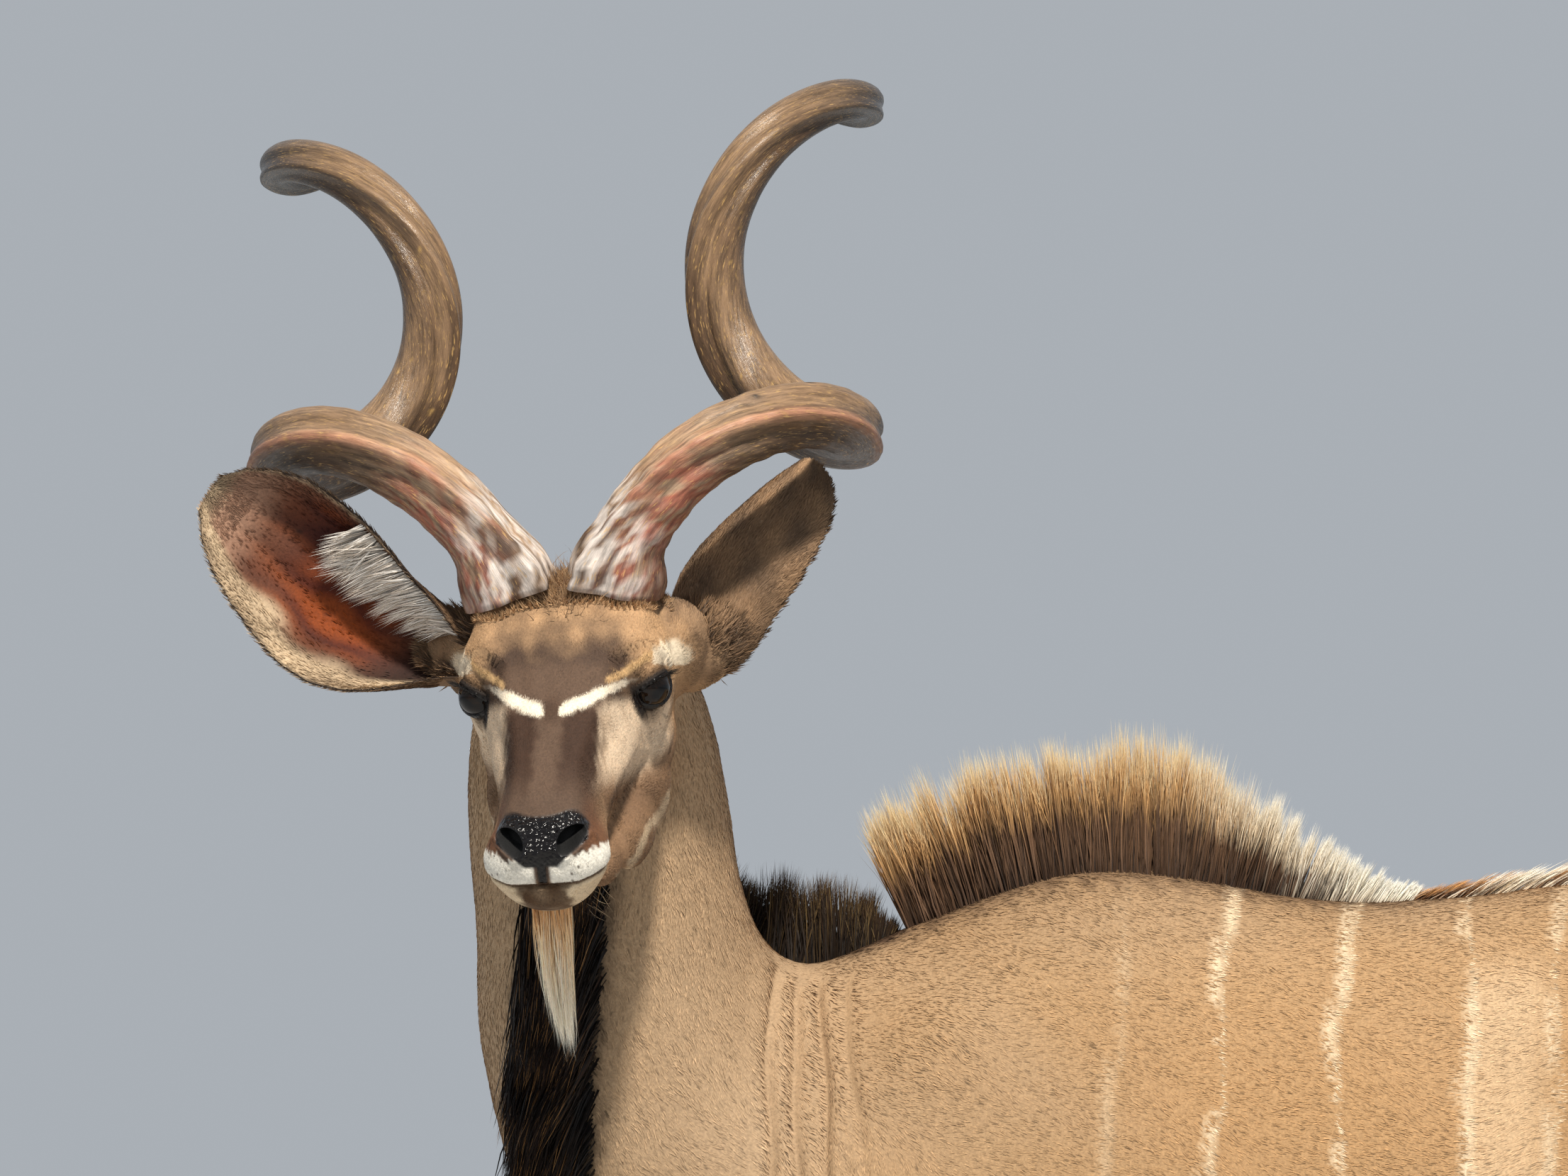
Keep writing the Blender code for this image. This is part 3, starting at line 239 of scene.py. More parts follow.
THROAT = (
    (0.425, -0.428, 1.390, 0.428, -0.428, 1.362, 0.020, 0.008),
    (0.375, -0.428, 1.412, 0.378, -0.430, 1.356, 0.028, 0.010),
    (0.300, -0.429, 1.432, 0.322, -0.432, 1.340, 0.034, 0.012),
    (0.225, -0.432, 1.410, 0.300, -0.437, 1.315, 0.040, 0.016),
    (0.206, -0.442, 1.310, 0.298, -0.455, 1.235, 0.043, 0.018),
    (0.186, -0.452, 1.205, 0.276, -0.474, 1.125, 0.044, 0.018),
    (0.160, -0.450, 1.100, 0.232, -0.490, 1.020, 0.042, 0.018),
    (0.105, -0.450, 1.005, 0.150, -0.508, 0.925, 0.036, 0.016),
    (0.045, -0.440, 0.930, 0.060, -0.490, 0.868, 0.028, 0.012),
)
BEARD = (  # x, y, z, half-width, half-depth
    (0.472, -0.430, 1.400, 0.019, 0.022), (0.470, -0.429, 1.365, 0.022, 0.026),
    (0.465, -0.427, 1.325, 0.019, 0.024), (0.458, -0.422, 1.280, 0.014, 0.018),
    (0.449, -0.416, 1.240, 0.008, 0.011), (0.442, -0.412, 1.222, 0.003, 0.004),
)
CLAW_OFFSET = 0.0196
CLAW_ROWS = ((0.00, 0.0183, 0.055, 0.037), (0.50, 0.0182, 0.047, 0.037), (1.00, 0.0170, 0.035, 0.034))
CORONET, CORONET_SLOPE = 0.052, 0.26  # the hoof's upper edge: its height, and its fall towards the heel
CORONET_CUSHION = (0.0395, 0.0385, 0.021)  # half-sizes of the flesh over it


# ---------------------------------------------------------------- numbers in bulk
def smooth(low, high, x):
    t = np.clip((x - low) / (high - low), 0, 1)
    return t * t * (3 - 2 * t)


def unit(v):
    return v / np.maximum(np.linalg.norm(v, axis=-1, keepdims=True), 1e-9)


def bell(x, middle, radius):
    return np.exp(-(((x - middle) / radius) ** 2))


def ripple(points, size, seed, waves=7):
    """A smooth, even field of bumps about one size across, from -1 to 1."""
    dice = np.random.default_rng(seed)
    ways = unit(dice.normal(size=(waves, 3))) * (math.tau / size) * dice.uniform(0.6, 1.5, (waves, 1))
    return np.sin(points @ ways.T + dice.uniform(0, math.tau, waves)).sum(1) / math.sqrt(waves * 1.6)


def mix(a, b, share):
    share = np.clip(share, 0, 1)[..., None] if np.ndim(share) else share
    return np.asarray(a) * (1 - share) + np.asarray(b) * share


def srgb(r, g, b):
    """A linear colour from 0 to 255 display values."""
    c = np.array((r, g, b)) / 255
    return np.where(c <= 0.04045, c / 12.92, ((c + 0.055) / 1.055) ** 2.4)


def line_distance(points, line):
    best = np.full(len(points), 9.0)
    for a, b in zip(np.array(line, float), np.array(line[1:], float)):
        along = b - a
        t = np.clip((points - a) @ along / max(along @ along, 1e-12), 0, 1)
        best = np.minimum(best, np.linalg.norm(points - a - t[:, None] * along, axis=1))
    return best


def curve(rows, count):
    """count rows on a smooth (Catmull-Rom) curve through the given rows."""
    rows = np.array(rows, float)
    at = count if np.ndim(count) else np.linspace(0, 1, count)
    at = np.clip(at, 0, 1) * (len(rows) - 1)
    i = np.minimum(at.astype(int), len(rows) - 2)
    t = (at - i)[:, None]
    a, b, c, d = (rows[np.clip(i + k, 0, len(rows) - 1)] for k in (-1, 0, 1, 2))
    return 0.5 * (2 * b + (c - a) * t + (2 * a - 5 * b + 4 * c - d) * t**2 + (3 * b - a - 3 * c + d) * t**3)


def across(v, axis):
    """The part of v that is square to an axis, with length 1."""
    return unit(v - axis * (v * axis).sum(-1, keepdims=True))


def layered(colour, *layers):
    """Each (tone, share) painted in turn over a colour."""
    for tone, share in layers:
        colour = mix(colour, tone, share)
    return colour


def few(count):
    """A draft makes fewer hairs."""
    return int(count / DRAFT**5)


# ---------------------------------------------------------------- meshes
def new_object(name, mesh):
    made = bpy.data.objects.new(name, mesh)
    bpy.context.scene.collection.objects.link(made)
    return made


def tube_faces(rows, sides):
    i = np.arange(sides)
    j = (i + 1) % sides
    start = (np.arange(rows - 1) * sides)[:, None]
    return np.stack([start + i, start + j, start + sides + j, start + sides + i], -1).reshape(-1, 4)


def tube(name, grid):
    """A closed body through rings of points, with a fan over each end."""
    rows, sides = grid.shape[:2]
    points = np.vstack([grid.reshape(-1, 3), grid[0].mean(0), grid[-1].mean(0)])
    faces = tube_faces(rows, sides).tolist()
    last = (rows - 1) * sides
    for i in range(sides):
        j = (i + 1) % sides
        faces.append((j, i, rows * sides))
        faces.append((last + i, last + j, rows * sides + 1))
    mesh = bpy.data.meshes.new(name)
    mesh.from_pydata(points.tolist(), [], faces)
    return mesh


def bulk_mesh(name, points, corners):
    """A mesh whose faces all have the same number of corners."""
    mesh = bpy.data.meshes.new(name)
    mesh.vertices.add(len(points))
    mesh.vertices.foreach_set("co", np.asarray(points, np.float32).ravel())
    mesh.loops.add(corners.size)
    mesh.loops.foreach_set("vertex_index", corners.astype(np.int32).ravel())
    mesh.polygons.add(len(corners))
    mesh.polygons.foreach_set("loop_start", np.arange(len(corners), dtype=np.int32) * corners.shape[1])
    mesh.update(calc_edges=True)
    return mesh


def places(mesh):
    points = np.empty(len(mesh.vertices) * 3, np.float32)
    mesh.vertices.foreach_get("co", points)
    return points.reshape(-1, 3).astype(float)


def set_places(mesh, points):
    mesh.vertices.foreach_set("co", np.asarray(points, np.float32).ravel())
    mesh.update()


def normals(mesh):
    found = np.empty(len(mesh.vertices) * 3, np.float32)
    mesh.vertex_normals.foreach_get("vector", found)
    return found.reshape(-1, 3).astype(float)


def paint(mesh, name, colours):
    layer = mesh.attributes.new(name, "FLOAT_COLOR", "POINT")
    full = np.ones((len(colours), 4), np.float32)
    full[:, :3] = np.clip(colours, 0, 1)
    layer.data.foreach_set("color", full.ravel())


def note(mesh, name, values):
    layer = mesh.attributes.new(name, "FLOAT", "POINT")
    layer.data.foreach_set("value", np.asarray(values, np.float32))


def with_modifiers(obj):
    bpy.context.view_layer.update()
    mesh = bpy.data.meshes.new_from_object(obj.evaluated_get(bpy.context.evaluated_depsgraph_get()))
    bpy.data.objects.remove(obj)
    return mesh


def meshed(name, shape):
    """Turns a bmesh into a mesh."""
    mesh = bpy.data.meshes.new(name)
    shape.to_mesh(mesh)
    shape.free()
    return mesh


def ball(place, around=28, high=14):
    shape = bmesh.new()
    bmesh.ops.create_uvsphere(shape, u_segments=around, v_segments=high, radius=1)
    shape.transform(place)
    return meshed("ball", shape)


def lump(middle, turn, sizes, *detail):
    """A ball stretched to half-sizes, turned and placed."""
    return ball(Matrix.Translation(Vector(middle)) @ turn @ Matrix.Diagonal((*sizes, 1)), *detail)


def tilted(angle):
    return Matrix.Rotation(angle, 4, "X")


def fused(name, parts, voxel, rounds):
    """One mesh around all the parts, remeshed in cubes and smoothed."""
    joined = bmesh.new()
    for part in parts:
        joined.from_mesh(part)
    bmesh.ops.recalc_face_normals(joined, faces=joined.faces)
    obj = new_object(name, meshed(name, joined))
    fuse = obj.modifiers.new("fuse", "REMESH")
    fuse.mode, fuse.voxel_size = "VOXEL", voxel
    soften = obj.modifiers.new("soften", "SMOOTH")
    soften.factor, soften.iterations = 0.5, rounds
    return with_modifiers(obj)


def refined(mesh, zone):
    """Cuts each edge in two where both its ends are in the zone."""
    shape = bmesh.new()
    shape.from_mesh(mesh)
    inside = zone(places(mesh))
    edges = [e for e in shape.edges if inside[e.verts[0].index] and inside[e.verts[1].index]]
    bmesh.ops.subdivide_edges(shape, edges=edges, cuts=1, use_grid_fill=True)
    shape.to_mesh(mesh)
    shape.free()
    mesh.update()
    return mesh


def eased(mesh, rounds, share):
    """Evens out the mesh: each point moves towards the middle of its neighbours, by its share."""
    ends = np.empty(len(mesh.edges) * 2, np.int32)
    mesh.edges.foreach_get("vertices", ends)
    a, b = ends.reshape(-1, 2).T
    points = places(mesh)
    many = np.bincount(ends, minlength=len(points))[:, None]
    share = 0.6 * share(points)[:, None]
    for _ in range(rounds):
        total = np.stack([np.bincount(a, points[b, k], len(points)) + np.bincount(b, points[a, k],
                                                                                  len(points))
                          for k in range(3)], 1)
        points += share * (total / many - points)
    set_places(mesh, points)


# ---------------------------------------------------------------- lofts
ACROSS, BACKWARD, UPWARD = (np.array([way], float) for way in ((1, 0, 0), (0, 1, 0), (0, 0, 1)))


def ovals(centre, wide, up, half_width, rise, drop, sides, ridge=2.0, keel=2.0):
    """Rings: ellipses whose upper and lower halves have their own heights and sharpness (2 is round)."""
    half_width, rise, drop, ridge = (np.reshape(row, (-1, 1)) for row in (half_width, rise, drop, ridge))
    angle = np.linspace(0, math.tau, sides, endpoint=False)
    side, height = np.cos(angle), np.sin(angle)
    power = np.where(height > 0, 2 / ridge, 2 / keel)
    x = half_width * np.sign(side) * np.abs(side) ** power
    y = np.where(height > 0, rise, drop) * np.sign(height) * np.abs(height) ** power
    return centre[:, None] + wide[:, None] * x[..., None] + up[:, None] * y[..., None]


def way(points):
    """The direction along a row of points."""
    ahead = np.vstack([points[1:], points[-1:]])
    behind = np.vstack([points[:1], points[:-1]])
    return unit(ahead - behind)


def trunk_rings():
    y, top, bottom, widest, half, ridge = curve(TRUNK, 60).T
    centre = np.stack([0 * y, y, widest], 1)
    return ovals(centre, ACROSS, UPWARD, half, top - widest, widest - bottom, 64, ridge, 2.1)


def neck_rings():
    rows = curve(NECK, 44)
    centre, along = rows[:, :3], way(rows[:, :3])
    turn = np.radians(rows[:, 3])
    throat = across(np.stack([np.sin(turn), -np.cos(turn), 0 * turn], 1), along)
    return ovals(centre, np.cross(along, throat), -throat, rows[:, 5], rows[:, 4], rows[:, 4], 48, 1.8)


def head_rings():
    rings = []
    for forward, top, brow, brow_up, cheek, cheek_up, jaw, jaw_up, bottom in curve(HEAD, 61):
        half = [(0, top), (0.55 * brow, 0.25 * brow_up + 0.75 * top), (brow, brow_up), (cheek, cheek_up),
                (jaw, jaw_up), (0.5 * jaw, 0.2 * jaw_up + 0.8 * bottom), (0, bottom)]
        outline = curve(half + [(-x, u) for x, u in reversed(half[:-1])], 65)[:-1]
        rings.append(head_world(np.column_stack([np.full(64, forward), outline])))
    return np.array(rings)


def tail_rings():
    rows = curve(TAIL, 30)
    shrink = TAIL_SLIM + (1 - TAIL_SLIM) * smooth(0.85, 0.80, rows[:, 1])
    wide, deep = rows[:, 3] * shrink, rows[:, 4] * shrink
    return ovals(rows[:, :3], ACROSS, np.cross(way(rows[:, :3]), ACROSS), wide, deep, deep, 20)


def side_of(name):
    return 1 if "left" in name else -1


def leg_rows(leg):
    return np.array(HIND_LEG if "hind" in leg else FORELEG)


def stance(leg, x, y, z):
    """Places of a leg, given as on the left of a standing animal, after its step forward."""
    swing = np.maximum(0.0, (SHOULDER_HEIGHT - z) / SHOULDER_HEIGHT)
    return np.stack([side_of(leg) * x, y - STEP_FORWARD[leg] * swing, z], -1)


def foot_middle(leg):
    return stance(leg, *leg_rows(leg)[-1, :3])


def limb_rings(leg, rows, count):
    x, y, z, wide, deep = curve(rows, count).T
    return ovals(stance(leg, x, y, z), ACROSS, BACKWARD, wide, deep, deep, 28)


def head_parts():
    parts = [tube("head", head_rings()), tube("neck", neck_rings())]
    for side in (1, -1):
        for (forward, left, up), sizes in HEAD_MUSCLES + JAW:
            parts.append(lump(head_world((forward, side * left, up)), HEAD_TURN.to_4x4(), sizes))
    for name in EARS:
        start, _, along, face, wide, _ = ear_frame(name)
        turn = Matrix(np.stack([along, wide, face], 1).tolist()).to_4x4()
        for ahead, inward, sizes in EAR_ROOTS[name]:
            parts.append(lump(start + along * ahead + face * inward, turn, sizes))
    return parts


def body_parts():
    parts = [tube("trunk", trunk_rings()), tube("tail", tail_rings())]
    for leg in STEP_FORWARD:
        parts.append(tube(leg, limb_rings(leg, leg_rows(leg), 90)))
        if "hind" in leg:
            parts.append(tube("tendon", limb_rings(leg, HAMSTRING, 16)))
        x, y, _ = foot_middle(leg)
        parts.append(lump((x, y, CORONET + 0.005), tilted(-math.atan(CORONET_SLOPE)), CORONET_CUSHION))
    for side in (1, -1):
        for (x, y, z), sizes, tilt in MUSCLES:
            parts.append(lump((side * x, y, z), tilted(math.radians(tilt)), sizes))
    return parts


# ---------------------------------------------------------------- the body's own coordinates
def bones():
    """Lines through the body: points, radius at each, and the side that angles turn from."""
    spine = np.array([(0, -0.44, 1.04), (0, 0.0, 1.08), (0, 0.4, 1.07), (0, 0.78, 1.13)])
    face = head_world([(f, 0, u) for f, u in ((-0.12, -0.03), (0.0, -0.03), (0.12, -0.035), (0.25, -0.04))])
    neck, tail = np.array(NECK), np.array(TAIL)[1:, :3]
    listed = {
        "trunk": (spine, (0.14, 0.26, 0.28, 0.14), (0, 0, 1)),
        "neck": (neck[:, :3], neck[:, 4:].mean(1), (-0.8, 0.3, 0.2)),
        "head": (face, (0.085, 0.095, 0.055, 0.045), head_world((0, 0, 1)) - EYE0),
        "tail": (tail, (0.03,) * len(tail), (0, 1, 0)),
    }
    for leg in STEP_FORWARD:
        rows = leg_rows(leg)[1:]
        listed[leg] = (stance(leg, *rows[:, :3].T), rows[:, 3:].mean(1), (-side_of(leg), 0, 0))
    return listed


BONES = bones()
PARTS = list(BONES)
TRUNK_ID, NECK_ID, HEAD_ID, TAIL_ID = range(4)
LEG_IDS = [PARTS.index(leg) for leg in STEP_FORWARD]


def bone_places(points):
    """For each bone: distance in radii, place along it and angle round it (0 to 1), and its direction."""
    found = []
    for line, radii, facing in BONES.values():
        lengths = np.linalg.norm(np.diff(line, axis=0), axis=1)
        reach = np.concatenate([[0], np.cumsum(lengths)]) / lengths.sum()
        near = np.full(len(points), 99.0)
        along, turn, ahead = np.zeros(len(points)), np.zeros(len(points)), np.zeros((len(points), 3))
        for k, step in enumerate(np.diff(line, axis=0)):
            t = np.clip((points - line[k]) @ step / (step @ step), 0, 1)
            away = points - line[k] - t[:, None] * step
            distance = np.linalg.norm(away, axis=1) / (radii[k] * (1 - t) + radii[k + 1] * t)
            axis = unit(step)
            front = across(np.array(facing, float), axis)
            closer = distance < near
            near = np.where(closer, distance, near)
            along = np.where(closer, reach[k] * (1 - t) + reach[k + 1] * t, along)
            turn = np.where(closer, np.arctan2(away @ np.cross(axis, front), away @ front), turn)
            ahead = np.where(closer[:, None], axis, ahead)
        found.append((near, along, turn / math.tau + 0.5, ahead))
    return [np.stack(kind) for kind in zip(*found)]


def body_map(points):
    """Each point's part, its place on an unwrap of it, and the way of its hair, not yet laid on the skin."""
    near, along, turn, ahead = bone_places(points)
    part, pick = near.argmin(0), np.arange(len(points))
    weight = np.exp(-7 * (near - near.min(0)))
    weight /= weight.sum(0)
    lie = np.zeros((len(points), 3))
    for k, share in enumerate(weight):
        hair_way = ahead[k]
        if k == TRUNK_ID:
            hair_way = np.stack([0.10 * np.sign(points[:, 0]), np.ones(len(points)),
                                 np.full(len(points), -0.42)], 1)
        elif k in (NECK_ID, HEAD_ID):
            hair_way = -ahead[k] + (0.0, 0.0, -0.25 if k == NECK_ID else 0.0)
        lie += share[:, None] * hair_way
    return part, 0.01 + 0.98 * np.stack([along[part, pick], turn[part, pick]], 1), lie


# ---------------------------------------------------------------- markings
FAWN, FAWN_GREY, FAWN_WARM = srgb(190, 153, 111), srgb(174, 144, 110), srgb(194, 149, 98)
NECK_TAN, CREAM, WHITE = srgb(190, 161, 128), srgb(236, 214, 180), srgb(250, 244, 230)
DARK_BROWN, BLACK_BROWN = srgb(72, 50, 34), srgb(34, 25, 18)
BRIDGE, CHESTNUT, CHEEK = srgb(98, 76, 60), srgb(104, 62, 36), srgb(236, 211, 181)
FOREHEAD_DARK, FOREHEAD = srgb(78, 59, 46), srgb(192, 154, 114)
TAWNY = srgb(178, 132, 88)
# the stripes of the flank: y near the back, y low down, lowest z, strength
STRIPES = (
    (0.045, 0.032, 1.00, 0.35), (0.138, 0.124, 0.93, 0.95), (0.243, 0.236, 0.90, 1.0),
    (0.350, 0.366, 0.92, 1.0), (0.432, 0.430, 0.93, 0.75), (0.515, 0.525, 0.97, 0.85),
    (0.600, 0.620, 1.00, 0.8), (0.680, 0.700, 1.05, 0.6),
)
STRIPE_HALF = 0.0043
# lines of the face, mirrored: forward, left, up, or left and the height as seen from ahead
TEAR_SLIT = ((0.030, 0.066, 0.009), (0.041, 0.057, 0.013), (0.048, 0.0480, 0.015))
JAW_LINE = ((-0.02, 0.079, -0.112), (0.03, 0.074, -0.122), (0.08, 0.062, -0.124), (0.13, 0.046, -0.118),
            (0.18, 0.036, -0.104))
JAW_EDGE = ((0.090, -0.068), (0.084, -0.092), (0.070, -0.124), (0.060, -0.150), (0.046, -0.168))
BROW_STREAK = ((0.048, 0.004), (0.066, 0.015), (0.084, 0.029))


def stripe_share(points):
    """How white the flank's stripes make each point, from 0 to 1."""
    x, y, z = points.T
    side = np.where(x > 0, 0.0, 1.0)
    down = np.clip((1.36 - z) / 0.35, 0, 1)
    share = np.zeros(len(points))
    for k, (high, low, end, strength) in enumerate(STRIPES):
        middle = high + (low - high) * down + 0.012 * side * math.sin(2.3 * k)
        middle = middle + 0.0042 * np.sin(z * 31 + k * 2.1 + side)
        middle = middle + 0.0014 * np.sin(z * 83 + k * 4.0 + 2 * side)
        half = STRIPE_HALF * (0.75 + 0.35 * np.sin(z * 23 + k * 1.7))
        edge = smooth(half * 1.7, half * 0.5, np.abs(y - middle))
        share = np.maximum(share, edge * strength * smooth(end - 0.03, end + 0.10, z)
                           * smooth(1.385, 1.35, z))
    return share


def seen_height(forward, up):
    """How high a point of the head looks from straight ahead."""
    return PITCH_COS * up - PITCH_SIN * forward


def chevron_place(l, t):
    """How far above the middle of the face's white chevron a point is, seen from straight ahead."""
    return (t - np.interp(l, (0, 0.007, 0.030, 0.064, 0.09),
                          (-0.021, -0.0205, -0.0125, 0.0035, 0.012))) * 0.93


def mouth_height(forward):
    """How high the mouth's line lies, as up in the frame of the head."""
    return np.interp(forward, (0.17, 0.195, 0.22, 0.246, 0.27), (-0.062, -0.056, -0.050, -0.0460, -0.0465))


def head_colour(points, base):
    """The face's markings over the colour that the coat has behind them."""
    forward, l, up = mirrored_head(points).T
    t = seen_height(forward, up)
    seen = np.column_stack([l, t])
    wobble, ragged = 0.0022 * ripple(points, 0.016, 3), 0.0022 * ripple(points, 0.007, 12)
    blotch = 0.5 + 0.5 * ripple(points, 0.028, 5)
    on_face, above = smooth(-0.13, -0.04, forward), smooth(-0.055, -0.03, up)
    # the forehead, darkest just over the chevron
    dark = (np.where(t < 0.020, 1, bell(t, 0.020, 0.026))
            * smooth(0.080, 0.056, l + 0.3 * np.maximum(0, t - 0.02)))
    dark = dark * smooth(-0.026, -0.016, t + 0.35 * (0.055 - l))
    over_chevron = bell(chevron_place(l, t), 0.012, 0.012) * (t > -0.4 * l) * smooth(0.066, 0.045, l)
    crown = bell(t, 0.050, 0.03) * smooth(0.08, 0.05, l) * smooth(-0.09, -0.05, forward)
    # the bridge with a dark band down each side, and the pale cheek below each eye
    band = smooth(0.006, 0.016, l + wobble) * smooth(0.046, 0.036, l + wobble) * smooth(-0.017, -0.024, t)
    band = band * smooth(-0.112, -0.060, t)
    cheek = (smooth(0.037, 0.049, l + wobble) * smooth(-0.008, -0.022, t)
             * smooth(-0.100, -0.074, t + 1.5 * wobble))
    cheek = cheek * smooth(-0.035, 0.005, forward) * smooth(-0.086, -0.058, up)
    # painted shade: darker brown in a band below each pale cheek
    shade_below_cheek = smooth(0.036, 0.048, l + 2 * wobble) * bell(t, -0.100, 0.020) * smooth(0.20, 0.15, forward)
    shade_below_cheek = shade_below_cheek * smooth(-0.10, -0.08, up) * smooth(0.00, 0.03, forward)
    # the lower jaw
    jaw = smooth(-0.050, -0.078, up + 1.5 * wobble) * smooth(-0.06, 0.0, forward)
    jaw_front = smooth(0.17, 0.20, forward + 0.6 * (0.03 - l)) * smooth(-0.062, -0.074, up)
    jaw_edge = smooth(0.0034, 0.0008, line_distance(seen, JAW_EDGE) + 0.3 * wobble)
    jaw_edge = jaw_edge * smooth(-0.05, -0.03, forward) * smooth(-0.04, -0.06, up)
    by_ears = []
    for name in EARS:
        start, _, along, _, _, _ = ear_frame(name)
        near = line_distance(points, (start, start + along * 0.05)) + 0.006 * ripple(points, 0.02, 8)
        near = smooth(0.062, 0.034, near)
        by_ears += [(srgb(136, 108, 82), 0.8 * near),
                    (DARK_BROWN, 0.5 * near * smooth(0.5, 0.9, 0.5 + 0.5 * ripple(points, 0.03, 91)))]
    # the white chevron, and the patch over the outer half of each eye
    width = 0.0060 * smooth(0.000, 0.014, l) * smooth(0.084, 0.022, l) + 0.3 * ragged
    chevron = smooth(width * 1.25 + 0.0006, width * 0.7, np.abs(chevron_place(l, t + 0.5 * wobble)))
    chevron = chevron * smooth(-0.01, 0.01, forward) * above * smooth(0.0055, 0.0085, l + 0.5 * ragged)
    chevron = chevron * (1 - 0.55 * smooth(0.040, 0.066, l)) * smooth(0.072, 0.066, l)
    tan = smooth(0.0046, 0.0016, line_distance(np.column_stack([l, t + 0.6 * wobble]), BROW_STREAK))
    patch = np.hypot((l - 0.093) / 0.0145, (t - 0.0185) / np.where(t > 0.0185, 0.0185, 0.0035))
    patch = (smooth(1.15, 0.80, patch + 60 * wobble) * smooth(-0.055, -0.04, forward)
             * smooth(0.060, 0.045, forward))
    # dark round the eye and down its tear slit
    eye = mirrored_head(points) - EYE_PLACE
    rim, close = eye_gap(eye), smooth(0.038, 0.030, np.linalg.norm(eye, axis=1))
    slit = smooth(0.0062, 0.0028, line_distance(mirrored_head(points), TEAR_SLIT))
    # the lips and the chin
    gap = mouth_height(forward)
    lip = (smooth(0.200, 0.215, forward + 0.3 * l) * smooth(0.0055, 0.0085, l)
           * smooth(gap - 0.001, gap + 0.001, up))
    lip = lip * smooth(-0.1475, -0.1525,
                       t - 0.42 * np.maximum(0, l - 0.030) - 0.06 * l + 0.6 * wobble + 0.8 * ragged)
    lower = smooth(0.195, 0.215, forward) * smooth(gap, gap - 0.002, up)
    chin = (lower * smooth(0.026, 0.017, l + 1.5 * wobble) * (0.88 + 0.12 * blotch)
            * smooth(-0.094, -0.082, up))
    specks = smooth(1.35, 1.6, ripple(points, 0.009, 22)) * bell(t, -0.035, 0.02) * smooth(0.06, 0.07, l)
    return layered(
        base, (FOREHEAD, on_face * smooth(-0.11, -0.06, forward)),
        (TAWNY, 0.5 * on_face * smooth(-0.03, -0.07, up)),
        (FOREHEAD_DARK, above * np.clip(dark * (0.85 + 0.4 * blotch), 0, 1)),
        (DARK_BROWN, 0.7 * above * over_chevron),
        (FOREHEAD_DARK, 0.60 * above * blotch * crown),
        (BRIDGE, smooth(0.030, 0.055, forward) * above * smooth(0.055, 0.036, l)),
        (srgb(64, 42, 28), 0.95 * band * smooth(-0.035, -0.018, up)),
        (DARK_BROWN, 0.85 * above * smooth(0.010, 0.004, l) * bell(t, -0.020, 0.012)),
        # the pale cheeks, then the painted shade below them
        (CHEEK, 0.95 * cheek), (srgb(116, 86, 62), 0.85 * shade_below_cheek),
        (CHESTNUT, 0.85 * smooth(0.165, 0.215, forward) * smooth(0.030, 0.045, l)
         * smooth(-0.052, -0.044, up)),
        (BRIDGE * 0.8, 0.8 * smooth(0.19, 0.23, forward) * smooth(0.040, 0.030, l) * above),
        (srgb(124, 96, 72), 0.80 * jaw), (CREAM * 0.9, 0.8 * jaw_front), (CREAM, 0.50 * jaw_edge), *by_ears,
        (mix(CREAM, WHITE, 0.5), chevron),
        (srgb(208, 170, 120), 0.85 * tan * smooth(-0.03, 0.0, forward) * above),
        (mix(CREAM, WHITE, 0.25), patch),
        (DARK_BROWN, 0.8 * close * smooth(0.0105, 0.0050, rim)),
        (BLACK_BROWN, close * smooth(0.0068, 0.0038, rim)),
        (BLACK_BROWN, slit), (WHITE, lip), (CREAM, lower * 0.9), (srgb(88, 62, 38), chin),
        (DARK_BROWN, 0.8 * smooth(0.95, 1.35, ripple(points, 0.0056, 21)) * lip),
        (BLACK_BROWN, 0.8 * specks * above))


